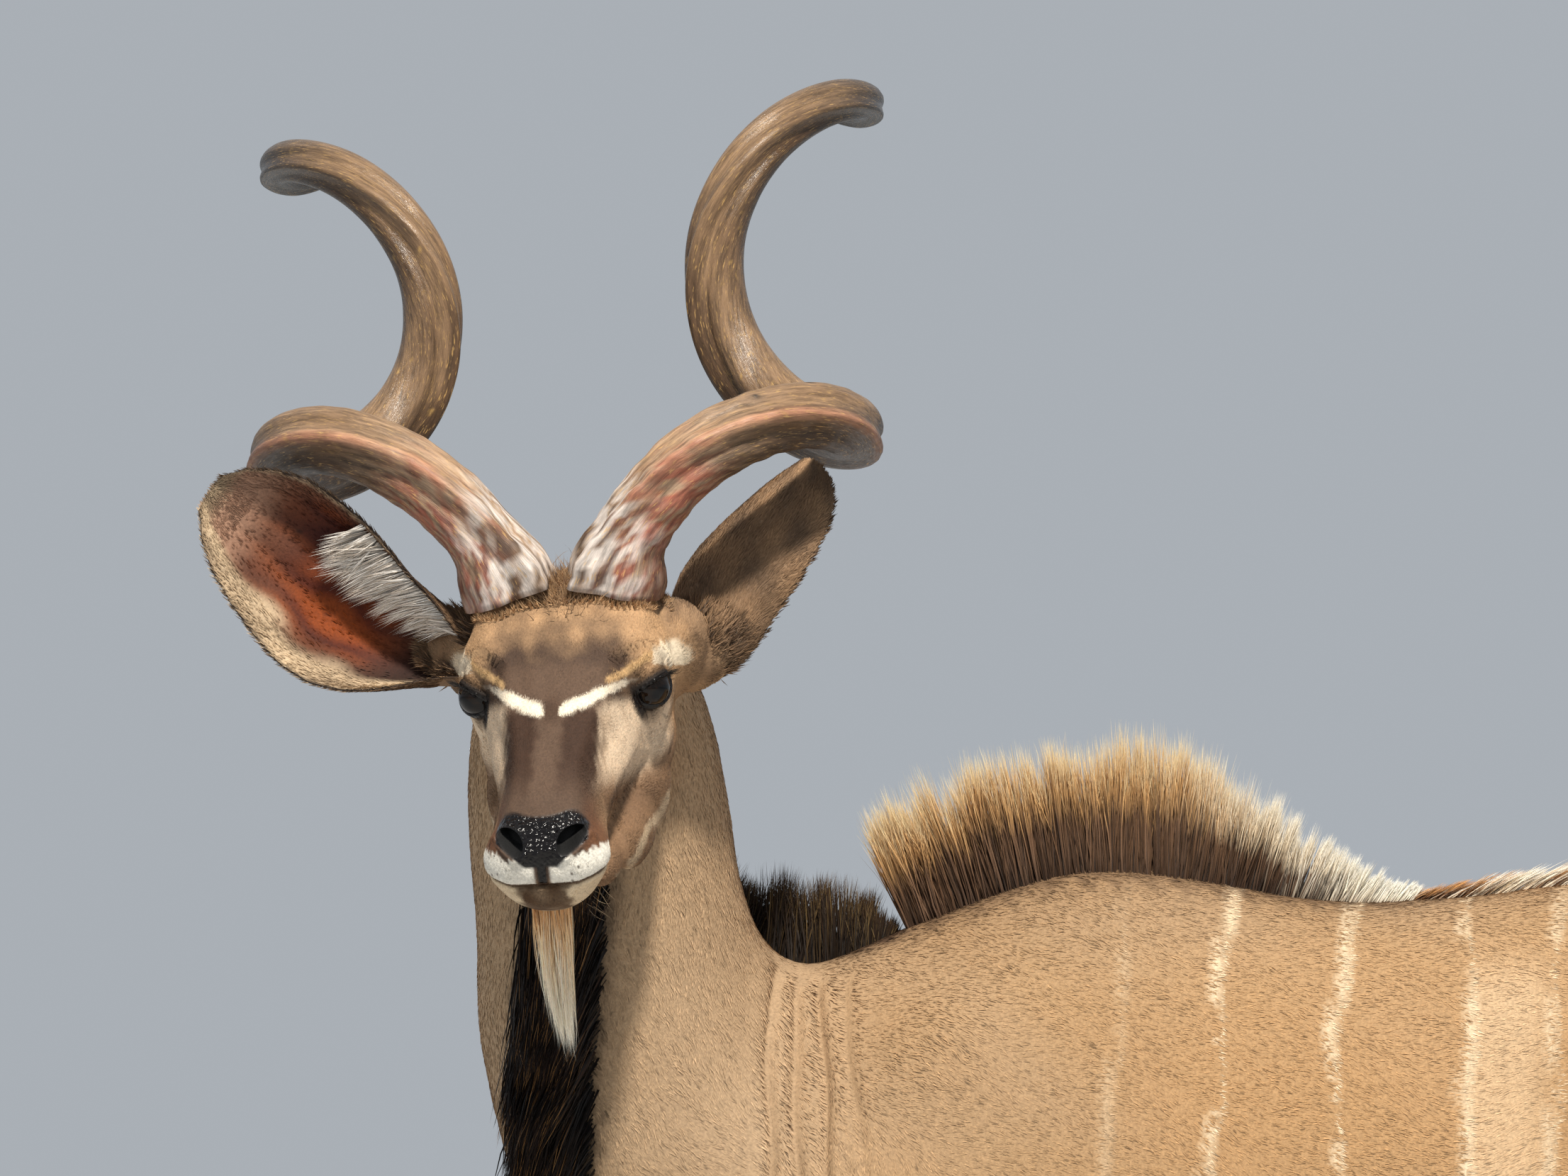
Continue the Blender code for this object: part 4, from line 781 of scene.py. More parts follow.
def coat_colour(points, part):
    """The coat's colour at each point of the animal's outside."""
    x, y, z = points.T
    aside = np.abs(x)
    broad, fine = ripple(points, 0.16, 1), ripple(points, 0.022, 2)
    on_leg, on_foreleg = np.isin(part, LEG_IDS), np.isin(part, LEG_IDS[:2])
    back = smooth(0.050, 0.012, aside + 0.01 * fine) * smooth(1.28, 1.33, z) * smooth(-0.30, -0.16, y)
    # where the flank's hair whorls; the coat is made paler here as painted light
    swirl = smooth(0.352, 0.366, y + 0.004 * fine) * smooth(0.445, 0.405, y) * smooth(1.33, 1.27, z)
    belly = smooth(0.88, 0.80, z) * smooth(-0.45, -0.2, y) * smooth(0.60, 0.45, y) * ~on_leg
    inner = on_leg * smooth(0.112, 0.085, aside) * smooth(1.0, 0.85, z)
    low = smooth(0.62, 0.45, z)
    throat, nape = (line_distance(points, [row[:3] for row in rows]) for rows in (THROAT[2:], NAPE))
    rump = smooth(0.785, 0.81, y) * (part != TAIL_ID) * smooth(0.055, 0.02, aside) * smooth(1.2, 1.1, z)
    colour = layered(
        mix(FAWN, FAWN_GREY, 0.5 + 0.35 * broad),
        (FAWN_WARM, 0.55 * bell(z, 1.16, 0.16) * smooth(-0.05, 0.15, y)),
        # neck, shoulders, back, and painted light: a pale patch on the flank behind the third stripe, where
        # its hair whorls
        (NECK_TAN, 0.75 * smooth(-0.10, -0.30, y) * smooth(1.0, 1.15, z)),
        (DARK_BROWN, 0.75 * back * smooth(0.42, 0.26, y)),
        (srgb(132, 104, 78), 0.28 * smooth(0.12, 0.02, aside) * smooth(1.25, 1.36, z)),
        # painted light: pale where the flank's hair whorls
        (srgb(226, 196, 158), 0.58 * swirl * smooth(0.95, 1.10, z)),
        (CREAM, 0.94 * stripe_share(points) * (0.85 + 0.15 * fine)),
        # belly and legs: tawny below the knee, with dark bands over the hooves and behind the pasterns
        (srgb(150, 122, 94), 0.6 * belly), (CREAM, 0.65 * inner), (srgb(190, 142, 92), 0.75 * low * on_leg),
        (CREAM, 0.55 * low * smooth(0.125, 0.10, aside)), (DARK_BROWN, 0.8 * bell(z, 0.155, 0.022) * low),
        (DARK_BROWN, 0.85 * smooth(0.085, 0.06, z)), (CREAM, 0.5 * bell(z, 0.105, 0.016)),
        (DARK_BROWN, 0.5 * bell(z, 0.70, 0.06) * on_foreleg * smooth(0.13, 0.10, aside)),
        # under the long hair, and the pale rump
        (BLACK_BROWN, 0.85 * smooth(0.055, 0.03, throat + 0.006 * fine)),
        (DARK_BROWN, 0.8 * smooth(0.040, 0.018, nape + 0.005 * fine)), (CREAM, 0.8 * rump))
    forward, _, up = head_local(points).T
    on_head = smooth(-0.16, -0.10, forward) * smooth(-0.17, -0.13, up) * (np.abs(forward) < 0.4)
    close = np.flatnonzero(on_head)
    colour[close] = mix(colour[close], head_colour(points[close], colour[close]), on_head[close])
    return colour * (1 + 0.05 * broad + 0.04 * fine)[:, None]


# ---------------------------------------------------------------- shaping the skin
EYE_TURN, EYE_TILT = math.radians(44), 0.10  # how far out the eye looks, and how far its inner corner drops
EYE_LOOK = unit(np.array((math.cos(EYE_TURN), math.sin(EYE_TURN), 0.06)))
EYE_LONG = unit(np.cross(EYE_LOOK, (0, 0, 1.0)))  # along the opening, towards the nose
EYE_LONG = EYE_LONG * math.cos(EYE_TILT) + np.cross(EYE_LOOK, EYE_LONG) * math.sin(EYE_TILT)
EYE_TALL = np.cross(EYE_LONG, EYE_LOOK)
LID_LONG, LID_HIGH, LID_LOW = 0.0184, 0.0104, 0.0118  # half-length of the opening, and its reach up and down
LID_ROUND_HIGH, LID_ROUND_LOW = 0.42, 0.62
# height, radius and line (forward, left, up) of what stands out or sinks in on each side of the head
FACE_FORMS = (
    (0.0030, 0.010, ((0.030, 0.060, 0.036), (0.004, 0.080, 0.036), (-0.030, 0.090, 0.026))),  # brow
    # ridge of the cheek
    (0.0016, 0.009, ((0.035, 0.080, -0.022), (0.09, 0.060, -0.026), (0.15, 0.050, -0.030))),
    (-0.0022, 0.013, ((0.075, 0.052, 0.004), (0.12, 0.045, 0.0))),  # hollow beside the bridge
    (0.0016, 0.007, ((0.05, 0.020, 0.050), (0.13, 0.014, 0.030), (0.20, 0.012, 0.016))),  # bridge
    (-0.0030, 0.011, ((0.195, 0.050, -0.018), (0.215, 0.050, -0.010))),  # behind the nostril
    (0.0032, 0.008, ((0.258, 0.012, -0.036), (0.248, 0.030, -0.036), (0.224, 0.046, -0.038))),  # upper lip
    (0.0026, 0.010, ((0.256, 0.0, -0.062), (0.246, 0.016, -0.064))),  # chin
    (0.0020, 0.010, ((0.02, 0.076, -0.119), (0.08, 0.062, -0.122), (0.14, 0.044, -0.114))),  # edge of the jaw
    (-0.0024, 0.0022, ((0.270, 0.0, -0.026), (0.270, 0.0, -0.0465))),  # groove of the upper lip
    (0.0026, 0.0042, ((0.240, 0.006, 0.004), (0.244, 0.026, 0.004), (0.236, 0.041, -0.004),
                      (0.232, 0.045, -0.016))),
    # edge of the nose pad
    (-0.0016, 0.0030, ((0.232, 0.004, 0.010), (0.235, 0.026, 0.010), (0.226, 0.044, 0.0))),
    (-0.0022, 0.0030, TEAR_SLIT),
    (-0.0013, 0.0035, JAW_LINE),
    # over the jaw
    (-0.0014, 0.006, ((-0.045, 0.090, -0.060), (-0.01, 0.085, -0.075), (0.03, 0.066, -0.075))),
)
NOSTRIL = (0.0265, -0.1320)  # left of the middle, and height as seen from straight ahead
NOSTRIL_TILT, NOSTRIL_LONG, NOSTRIL_TALL, NOSTRIL_DEEP = math.radians(50), 0.0166, 0.0100, 0.021
COAT_DEPTH, FACE_COAT_DEPTH, FOOT_COAT_DEPTH = 0.0018, 0.0008, 0.0016
# folds of the shoulder on the left: y high up, y low down and depth
SHOULDER_FOLDS = ((-0.268, -0.262, 0.0042), (-0.253, -0.234, 0.0030), (-0.231, -0.205, 0.0040),
                  (-0.212, -0.170, 0.0016))


def eye_gap(eye):
    """Distance of points, given from the left eyeball's centre, from the eye's opening; below 0 inside."""
    aim = unit(eye) * EYE_RADIUS
    a, b = aim @ EYE_LONG, aim @ EYE_TALL
    share = np.clip(1 - (np.abs(a) / LID_LONG) ** 2, 0, 1)
    tall = np.where(b > 0, LID_HIGH * share**LID_ROUND_HIGH, LID_LOW * share**LID_ROUND_LOW)
    gap = np.where(np.abs(a) < LID_LONG, np.abs(b) - tall, np.hypot(np.abs(a) - LID_LONG, b))
    return np.where(eye @ EYE_LOOK > 0, gap, 0.03)


def shoulder_folds(points):
    """Soft rolls of skin where the neck turns on the shoulder."""
    x, y, z = points.T
    down = np.clip((1.32 - z) / 0.25, -0.2, 1.6)
    lift = np.zeros(len(points))
    for k, (high, low, depth) in enumerate(SHOULDER_FOLDS):
        away = y - (high + (low - high) * down) - 0.0022 * np.sin(z * 40 + 2 * k)
        lift += depth * (0.75 * bell(away, 0.0105, 0.0075) + 0.35 * bell(away, -0.010, 0.008)
                         - bell(away, 0, 0.0042))
    return lift * smooth(0.04, 0.07, x) * smooth(1.335, 1.300, z) * smooth(0.93, 1.06, z)


def open_eyes(local):
    """Lays lids on the eyeballs: the skin's points near each eye move along rays from its centre."""
    flip = np.column_stack([np.ones(len(local)), np.sign(local[:, 1]), np.ones(len(local))])
    eye = local * flip - EYE_PLACE
    distance, gap = np.linalg.norm(eye, axis=1), eye_gap(eye)
    inside = EYE_RADIUS - 0.0055 + (0.0055 + 0.0006) * smooth(-0.0022, 0, gap)
    edge = EYE_RADIUS + 0.0006 + 0.0013 * smooth(0, 0.0012, gap)
    lid = EYE_RADIUS + 0.0019
    b = unit(eye) * EYE_RADIUS @ EYE_TALL
    crease = -0.0016 * bell(gap, 0.0052, 0.0012) * smooth(-0.002, 0.004, b)
    crease = crease - 0.0010 * bell(gap, 0.0058, 0.0016) * smooth(0.002, -0.004, b)
    target = np.where(gap > 0.0022, lid + (distance - lid) * smooth(0.0025, 0.0135, gap),
                      np.where(gap < 0, inside, edge))
    target = target + np.where(gap > 0, crease, 0)
    target = np.maximum(target, distance - 0.0125 - 0.02 * smooth(0.034, 0.030, distance))
    near = (eye @ EYE_LOOK > -0.004) & (distance < 0.055) & (gap < 0.02)
    moved = unit(eye) * np.where(near, target, distance)[:, None]
    return np.where(near[:, None], (moved + EYE_PLACE) * flip, local)


def open_nostrils(local):
    """Sinks the nostrils in; also how far each point is from a nostril's middle, with 1 at its rim."""
    forward, left, up = local.T
    l, t = np.abs(left) - NOSTRIL[0], seen_height(forward, up) - NOSTRIL[1]
    a = l * math.cos(NOSTRIL_TILT) + t * math.sin(NOSTRIL_TILT)
    b = -l * math.sin(NOSTRIL_TILT) + t * math.cos(NOSTRIL_TILT) + 0.0012 * (a / 0.012) ** 2
    inside = np.hypot(a / NOSTRIL_LONG, b / NOSTRIL_TALL)
    front = smooth(0.215, 0.235, forward)
    depth, rim = NOSTRIL_DEEP * smooth(1.0, 0.60, inside) * front, 0.0016 * bell(inside, 1.16, 0.16) * front
    moved = np.column_stack([0.8 * (rim - depth), -0.25 * np.sign(left) * depth, 0.3 * rim - 0.05 * depth])
    return local + moved, np.where(front > 0.5, inside, 9.0)


def snapped(points, reference, share):
    """Points drawn onto a finer surface, by each one's share."""
    tree = BVHTree.FromPolygons([v.co for v in reference.vertices],
                                [list(p.vertices) for p in reference.polygons])
    out = points.copy()
    for i in np.flatnonzero(share > 0.001):
        hit = tree.find_nearest(Vector(points[i]))[0]
        out[i] += (np.array(hit) - points[i]) * share[i]
    return out


def face_zone(points, behind):
    forward, l, up = mirrored_head(points).T
    level = (up > -0.155 + 0.10 * np.abs(forward)) & (up < 0.13)
    return (forward > behind) & (forward < 0.31) & level & (l < 0.16)


def fine_zone(points):
    local = mirrored_head(points)
    eye = np.linalg.norm(local - EYE_PLACE, axis=1) < 0.034
    front = (local[:, 0] > 0.190) & (local[:, 0] < 0.31) & (local[:, 2] > -0.11)
    return eye | front | (line_distance(local, TEAR_SLIT) < 0.009)


def finest_zone(points):
    """The eyelids, the line of the mouth and the nostrils."""
    forward, l, up = mirrored_head(points).T
    eye = mirrored_head(points) - EYE_PLACE
    lids = (np.linalg.norm(eye, axis=1) < 0.032) & (np.abs(eye_gap(eye)) < 0.0062) & (eye @ EYE_LOOK > 0)
    mouth = (np.abs(up - mouth_height(forward)) < 0.0040) & (forward > 0.178) & (forward < 0.31)
    nostril = (forward > 0.222) & (np.hypot(l - NOSTRIL[0], seen_height(forward, up) - NOSTRIL[1]) < 0.021)
    return lids | mouth | nostril


def fold_zone(points):
    return (points[:, 0] > 0.05) & (points[:, 1] > -0.29) & (points[:, 1] < -0.17) & (points[:, 2] > 1.0)


def fused_skin():
    """The flesh as one smooth surface, cut finer on the face and the shoulder's folds."""
    mesh = fused("skin", head_parts() + body_parts(), 0.0104 * DRAFT, 6)
    eased(mesh, 22, lambda p: smooth(0.66, 0.86, p[:, 2])
          * smooth(0.30, 0.36, np.linalg.norm(p - EYE0, axis=1)))
    for zone in (lambda p: face_zone(p, -0.13), lambda p: face_zone(p, -0.09), fold_zone, fold_zone,
                 fine_zone):
        refined(mesh, zone)
    points = places(mesh)
    local = head_local(points)
    reference = fused("head_reference", head_parts(), 0.0025 * DRAFT, 7)
    on_head = smooth(-0.13, -0.08, local[:, 0]) * (np.linalg.norm(local, axis=1) < 0.31)
    set_places(mesh, snapped(points, reference, on_head))
    bpy.data.meshes.remove(reference)
    between_horns = ((-0.022, 0, 0.074), (-0.022, 0.060, 0.064))
    eased(mesh, 26, lambda p: bell(line_distance(mirrored_head(p), between_horns), 0, 0.020))
    return refined(mesh, finest_zone)


def face_lift(mirrored):
    """How far the face's forms stand out or sink in."""
    forward, l, up = mirrored.T
    lift = sum(height * bell(line_distance(mirrored, line), 0, radius) for height, radius, line in FACE_FORMS)
    return lift - 0.0046 * bell(up, mouth_height(forward), 0.0021) * smooth(0.172, 0.190, forward)


def make_skin():
    """The skin's mesh, and how far each of its points is from a nostril."""
    mesh = fused_skin()
    points, out = places(mesh), normals(mesh)
    forward, _, up = head_local(points).T
    face = smooth(-0.12, 0.0, forward) * smooth(-0.19, -0.12, up) * (np.abs(forward) < 0.31)
    depth = COAT_DEPTH + (FACE_COAT_DEPTH - COAT_DEPTH) * face
    depth = np.where(points[:, 2] < 0.5, np.minimum(depth, FOOT_COAT_DEPTH), depth)
    points = points - out * depth[:, None]
    local = head_local(points)
    near = np.flatnonzero((local[:, 0] > -0.14) & (np.linalg.norm(local, axis=1) < 0.32))
    points[near] += out[near] * face_lift(mirrored_head(points[near]))[:, None]
    nostril = np.full(len(points), 9.0)
    moved, nostril[near] = open_nostrils(open_eyes(head_local(points[near])))
    points[near] = head_world(moved)
    # folds of the shoulder, ribs and the hollow before the hip
    x, y, z = points.T
    ribs = (np.sin((y + 0.35 * (1.1 - z)) * 78) * bell(z, 1.02, 0.12) * smooth(0.06, 0.16, y)
            * smooth(0.42, 0.30, y))
    lift = shoulder_folds(points) + 0.0011 * ribs * smooth(0.1, 0.16, np.abs(x))
    lift += -0.010 * bell(y, 0.40, 0.075) * bell(z, 1.20, 0.08) * smooth(0.08, 0.15, np.abs(x))
    set_places(mesh, points + out * lift[:, None])
    return mesh, nostril


# ---------------------------------------------------------------- materials
class Finish:
    """A material in the making: its nodes, and the shader that they feed."""

    def __init__(self, name, roughness, specular):
        self.material = bpy.data.materials.new(name)
        self.material.use_nodes = True
        self.tree = self.material.node_tree
        self.main = self.tree.nodes["Principled BSDF"]
        self.feed(self.main, {"Roughness": roughness, "Specular IOR Level": specular})

    def feed(self, node, inputs):
        """Gives each named input a number, or another node's output."""
        for key, value in inputs.items():
            if isinstance(value, bpy.types.NodeSocket):
                self.tree.links.new(value, node.inputs[key])
            else:
                node.inputs[key].default_value = value
        return node

    def node(self, kind, inputs):
        return self.feed(self.tree.nodes.new("ShaderNode" + kind), inputs)

    def where(self):
        return self.node("TexCoord", {}).outputs["Object"]

    def attribute(self, name, output):
        node = self.node("Attribute", {})
        node.attribute_name = name
        return node.outputs[output]

    def noise(self, where, scale, detail, rough=0.55):
        inputs = {"Vector": where, "Scale": scale, "Detail": detail, "Roughness": rough}
        return self.node("TexNoise", inputs).outputs["Fac"]

    def ranged(self, value, low, high, to_low, to_high):
        inputs = {"Value": value, "From Min": low, "From Max": high, "To Min": to_low, "To Max": to_high}
        return self.node("MapRange", inputs).outputs["Result"]

    def sum_or_product(self, operation, a, b):
        node = self.node("Math", {0: a, 1: b})
        node.operation = operation
        return node.outputs[0]

    def shaded_coat(self, shade):
        """The painted colour times a changing shade."""
        node = self.node("VectorMath", {})
        node.operation = "SCALE"
        return self.feed(node, {0: self.attribute("coat", "Color"), "Scale": shade}).outputs["Vector"]

    def bump(self, height, distance, strength, *before):
        inputs = {"Height": height, "Distance": distance, "Strength": strength}
        return self.node("Bump", {**inputs, **({"Normal": before[0]} if before else {})}).outputs["Normal"]


def skin_material():
    skin = Finish("skin", 0.75, 0.34)
    where, wet = skin.where(), skin.attribute("wet", "Fac")
    grain = skin.noise(where, 420, 3)
    pebbles = skin.node("TexVoronoi", {"Scale": 250, "Vector": where}).outputs["Distance"]
    fur = skin.bump(grain, 0.0010, 0.6)
    skin.feed(skin.main, {"Base Color": skin.shaded_coat(skin.ranged(grain, 0.3, 0.7, 0.72, 1.08)),
                          "Roughness": skin.ranged(wet, 0, 1, 0.78, 0.15),
                          "Normal": skin.bump(skin.sum_or_product("MULTIPLY", pebbles, wet), -0.0019, 1.0,
                                              fur)})
    return skin.material


def coat_material(name, roughness):
    coat = Finish(name, roughness, 0.22)
    shade = coat.ranged(coat.noise(coat.where(), 900, 2), 0.3, 0.7, 0.86, 1.12)
    coat.feed(coat.main, {"Base Color": coat.shaded_coat(shade), "Sheen Weight": 0.08,
                          "Sheen Roughness": 0.4})
    return coat.material


def horn_material():
    horn = Finish("horn", 0.35, 0.36)
    grain = horn.attribute("grain", "Vector")
    streaks = horn.noise(grain, 1.0, 5, 0.65)
    worn = horn.shaded_coat(horn.ranged(streaks, 0.34, 0.68, 0.52, 1.42))
    flecked = horn.node("Mix", {})
    flecked.data_type = "RGBA"
    horn.feed(flecked, {"Factor": horn.ranged(horn.noise(grain, 3.2, 2), 0.60, 0.70, 0, 0.55), "A": worn,
                        "B": (*srgb(206, 166, 104), 1)})
    gloss = horn.ranged(horn.noise(grain, 2.6, 3), 0.35, 0.65, -0.07, 0.10)
    fine = horn.bump(streaks, 0.0014, 0.6)
    horn.feed(horn.main, {"Base Color": flecked.outputs["Result"],
                          "Roughness": horn.sum_or_product("ADD", gloss, horn.attribute("rough", "Fac")),
                          "Normal": horn.bump(horn.noise(grain, 6.0, 2), 0.0006, 0.6, fine)})
    return horn.material


def hoof_material():
    hoof = Finish("hoof", 0.42, 0.4)
    where = hoof.where()
    rings = hoof.node("TexWave", {"Scale": 55, "Distortion": 2.5, "Vector": where})
    rings.bands_direction = "Z"
    worn = hoof.noise(where, 90, 4)
    hoof.feed(hoof.main, {"Base Color": hoof.shaded_coat(hoof.ranged(worn, 0.3, 0.7, 0.6, 1.6)),
                          "Roughness": hoof.ranged(worn, 0.3, 0.7, 0.32, 0.6),
                          "Normal": hoof.bump(rings.outputs["Fac"], 0.0006, 0.7)})
    return hoof.material


def eye_material():
    eye = Finish("eye", 0.05, 0.28)
    eye.feed(eye.main, {"Base Color": eye.attribute("coat", "Color")})
    return eye.material


MATERIALS = {"skin": skin_material(), "coat": coat_material("coat", 0.62),
             "long_hair": coat_material("long_hair", 0.5),
             "horn": horn_material(), "hoof": hoof_material(), "eye": eye_material()}


def placed(name, mesh, finish, slot, *nodes):
    """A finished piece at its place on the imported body, standing for the named solids."""
    mesh.transform(Matrix.Translation(SHIFT))
    mesh.materials.clear()
    mesh.materials.append(MATERIALS[finish])
    mesh.shade_smooth()
    piece = new_object(name, mesh)
    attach(piece, "root")
    if nodes:
        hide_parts(*nodes)
    return piece


# ---------------------------------------------------------------- hair
PATCH = 0.0015  # half the size of each hair's place on the baked picture


def hair_mesh(name, points, corners, tones, uv):
    """Hair as faces over (hair, point) arrays, with the colours and the map that baking reads."""
    mesh = bulk_mesh(name, points.reshape(-1, 3), corners)
    paint(mesh, "coat", tones.reshape(-1, 3))
    layer = mesh.uv_layers.new(name="OFBake")
    corner = np.empty(len(mesh.loops), np.int32)
    mesh.loops.foreach_get("vertex_index", corner)
    layer.data.foreach_set("uv", np.asarray(uv.reshape(-1, 2)[corner], np.float32).ravel())
    return mesh


def kites(name, root, lie, out, length, width, lift, colour, uv):
    """Short tufts: each a narrow leaf of two faces, folded along its middle, that lies along the coat."""
    lie = across(lie, out)
    half = np.cross(out, lie) * (width / 2)[:, None]
    l, h, fold = lie * length[:, None], out * lift[:, None], out * (0.12 * width)[:, None]
    middle = root + 0.42 * l + 0.55 * h - fold
    points = np.stack([root - out * 0.0010, middle + half, root + l + h, middle - half], 1)
    at = (np.arange(len(root)) * 4)[:, None]
    corners = np.concatenate([at + (0, 1, 2), at + (0, 2, 3)], 1).reshape(-1, 3)
    # painted shade: each tuft is darker at its root and lighter at its tip, for depth in the coat
    tones = colour[:, None] * np.array((0.86, 0.97, 1.07, 1.0))[:, None]
    spread = np.array(((-1, 0), (0, 0.8), (1, 0), (0, -0.8))) * PATCH
    return placed(name, hair_mesh(name, points, corners, tones, uv[:, None] + spread), "coat", "coat")


def locks(name, foot, tip, bow, width, colour, uv, slot, *nodes, finish="long_hair"):
    """Long hair: each lock is a tapered ribbon from foot to tip that bows by bow at its middle."""
    count, steps = colour.shape[:2]
    t = np.linspace(0, 1, steps)[None, :, None]
    paths = foot[:, None] * (1 - t) + tip[:, None] * t + bow[:, None] * (4 * t * (1 - t))
    side = unit(np.cross(unit(tip - foot), CHANCE.normal(size=foot.shape)))
    half = side[:, None] * (width[:, None] * (1 - t[..., 0]) ** 0.75 / 2)[..., None]
    per = 2 * steps - 1
    points, tones = np.empty((count, per, 3)), np.empty((count, per, 3))
    for whole, even, odd in ((points, paths + half, paths - half), (tones, colour, colour)):
        whole[:, 0:per - 1:2], whole[:, 1:per - 1:2], whole[:, -1] = even[:, :-1], odd[:, :-1], even[:, -1]
    faces = [face for a in range(0, per - 3, 2) for face in ((a, a + 1, a + 3), (a, a + 3, a + 2))]
    faces.append((per - 3, per - 2, per - 1))
    corners = ((np.arange(count) * per)[:, None, None] + np.array(faces)).reshape(-1, 3)
    spread = np.stack([np.tile([-PATCH, PATCH], per)[:per], np.linspace(-PATCH, PATCH, per)], 1)
    mesh = hair_mesh(name, points, corners, tones, np.clip(uv, 0.01, 0.99)[:, None] + spread)
    return placed(name, mesh, finish, slot, *nodes)


# ---------------------------------------------------------------- the skin and its short coat
TUFT_SPACING, TUFT_LENGTH, TUFT_WIDTH = 0.00278, 0.0086, 0.0014
FINEST_SPACING = 0.42  # share of the spacing where the hair is finest


def pad_share(mirrored):
    """The wet black pad of the nose: 1 on it and 0 off it."""
    forward, l, up = mirrored.T
    t = seen_height(forward, up)
    top = smooth(-0.1075, -0.1115, t - 0.006 * bell(l, 0.030, 0.014) + 0.002)
    outer = smooth(0.0425, 0.0395, l + 0.28 * np.maximum(0, -0.136 - t))
    low = smooth(-0.158, -0.154, t - 0.85 * np.maximum(0, l - 0.014))
    centre = smooth(0.0052, 0.0030, l) * smooth(-0.049, -0.045, up)
    return smooth(0.218, 0.228, forward + 0.1 * l) * np.clip(top * outer * np.maximum(low, centre), 0, 1)


def coronet(y_from_middle):
    return CORONET - CORONET_SLOPE * y_from_middle


def above_hoof(points):
    """How far each low point is above the upper edge of its hoof."""
    feet = np.array([foot_middle(leg) for leg in STEP_FORWARD])
    away = points[:, None, :2] - feet[None, :, :2]
    back = away[np.arange(len(points)), np.linalg.norm(away, axis=2).argmin(1), 1]
    return points[:, 2] - coronet(np.clip(back, -0.1, 0.1))


def skin_and_coat():
    """Makes the skin and its fur, and returns the finished skin as a search tree."""
    mesh, nostril = make_skin()
    points, out = places(mesh), normals(mesh)
    mirrored = mirrored_head(points)
    forward, l, up = mirrored.T
    on_head = (np.abs(forward) < 0.3) & (np.linalg.norm(mirrored, axis=1) < 0.32)
    # the bare parts: nose pad, lids and the line of the mouth
    pad = pad_share(mirrored) * on_head
    eye = mirrored - EYE_PLACE
    bare = on_head * smooth(0.034, 0.028, np.linalg.norm(eye, axis=1)) * smooth(0.0034, 0.0018, eye_gap(eye))
    mouth = (on_head * smooth(0.0020, 0.0008, np.abs(up - mouth_height(forward)))
             * smooth(0.172, 0.185, forward))
    colour = layered(coat_colour(points, body_map(points)[0]), (srgb(15, 11, 11), pad),
                     (srgb(20, 15, 13), bare),
                     # painted shade: the last layer is near-black deep inside each sunken nostril
                     (srgb(92, 66, 48), 0.8 * mouth), (srgb(2, 2, 2), smooth(1.05, 0.80, nostril)))
    paint(mesh, "coat", colour * 0.92)
    note(mesh, "wet", np.clip(pad * smooth(0.90, 1.06, nostril) + 0.85 * bare + 0.4 * mouth, 0, 1))
    # fur is finer and shorter on the face and the feet
    face = smooth(-0.15, -0.02, forward) * smooth(-0.21, -0.12, up) * on_head
    size = 1 - 0.60 * face - 0.22 * smooth(0.15, 0.22, forward) * on_head
    size = np.minimum(size, 1 - 0.45 * smooth(0.50, 0.25, points[:, 2]))
    density = 0.80 / (TUFT_SPACING * DRAFT**2 * np.maximum(size, FINEST_SPACING)) ** 2
    density = density * (1 - np.clip(pad * 3 + bare * 3 + mouth + smooth(1.3, 1.1, nostril), 0, 1))
    density = density * smooth(-0.007, 0, above_hoof(points))
    fur(*sown(mesh, points, out, size, density))

    flesh_parts = ("trunk", "neck", "head", "tail", "ear", "fore", "hind")
    flesh = [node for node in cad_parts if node.startswith(flesh_parts)]
    piece = placed("skin", mesh, "skin", "coat", *flesh)
    bpy.context.view_layer.update()
    return BVHTree.FromObject(piece, bpy.context.evaluated_depsgraph_get())


def sown(mesh, points, out, size, density):
    """Roots spread evenly over the mesh by its points' density: place, direction out, and size of each."""
    mesh.calc_loop_triangles()
    triangles = np.empty(len(mesh.loop_triangles) * 3, np.int32)
    mesh.loop_triangles.foreach_get("vertices", triangles)
    triangles = triangles.reshape(-1, 3)
    a, b, c = (points[triangles[:, k]] for k in range(3))
    want = density[triangles].mean(1) * np.linalg.norm(np.cross(b - a, c - a), axis=1) / 2
    count = int(want.sum())
    ladder = np.cumsum(want) / want.sum()
    pick = np.searchsorted(ladder, (np.arange(count) + CHANCE.uniform(size=count)) / count)
    pick = triangles[np.minimum(pick, len(triangles) - 1)]
    a, b = np.sqrt(CHANCE.uniform(size=count)), CHANCE.uniform(size=count)
    share = np.stack([1 - a, a * (1 - b), a * b], 1)
    return ((points[pick] * share[..., None]).sum(1), unit((out[pick] * share[..., None]).sum(1)),
            (size[pick] * share).sum(1))


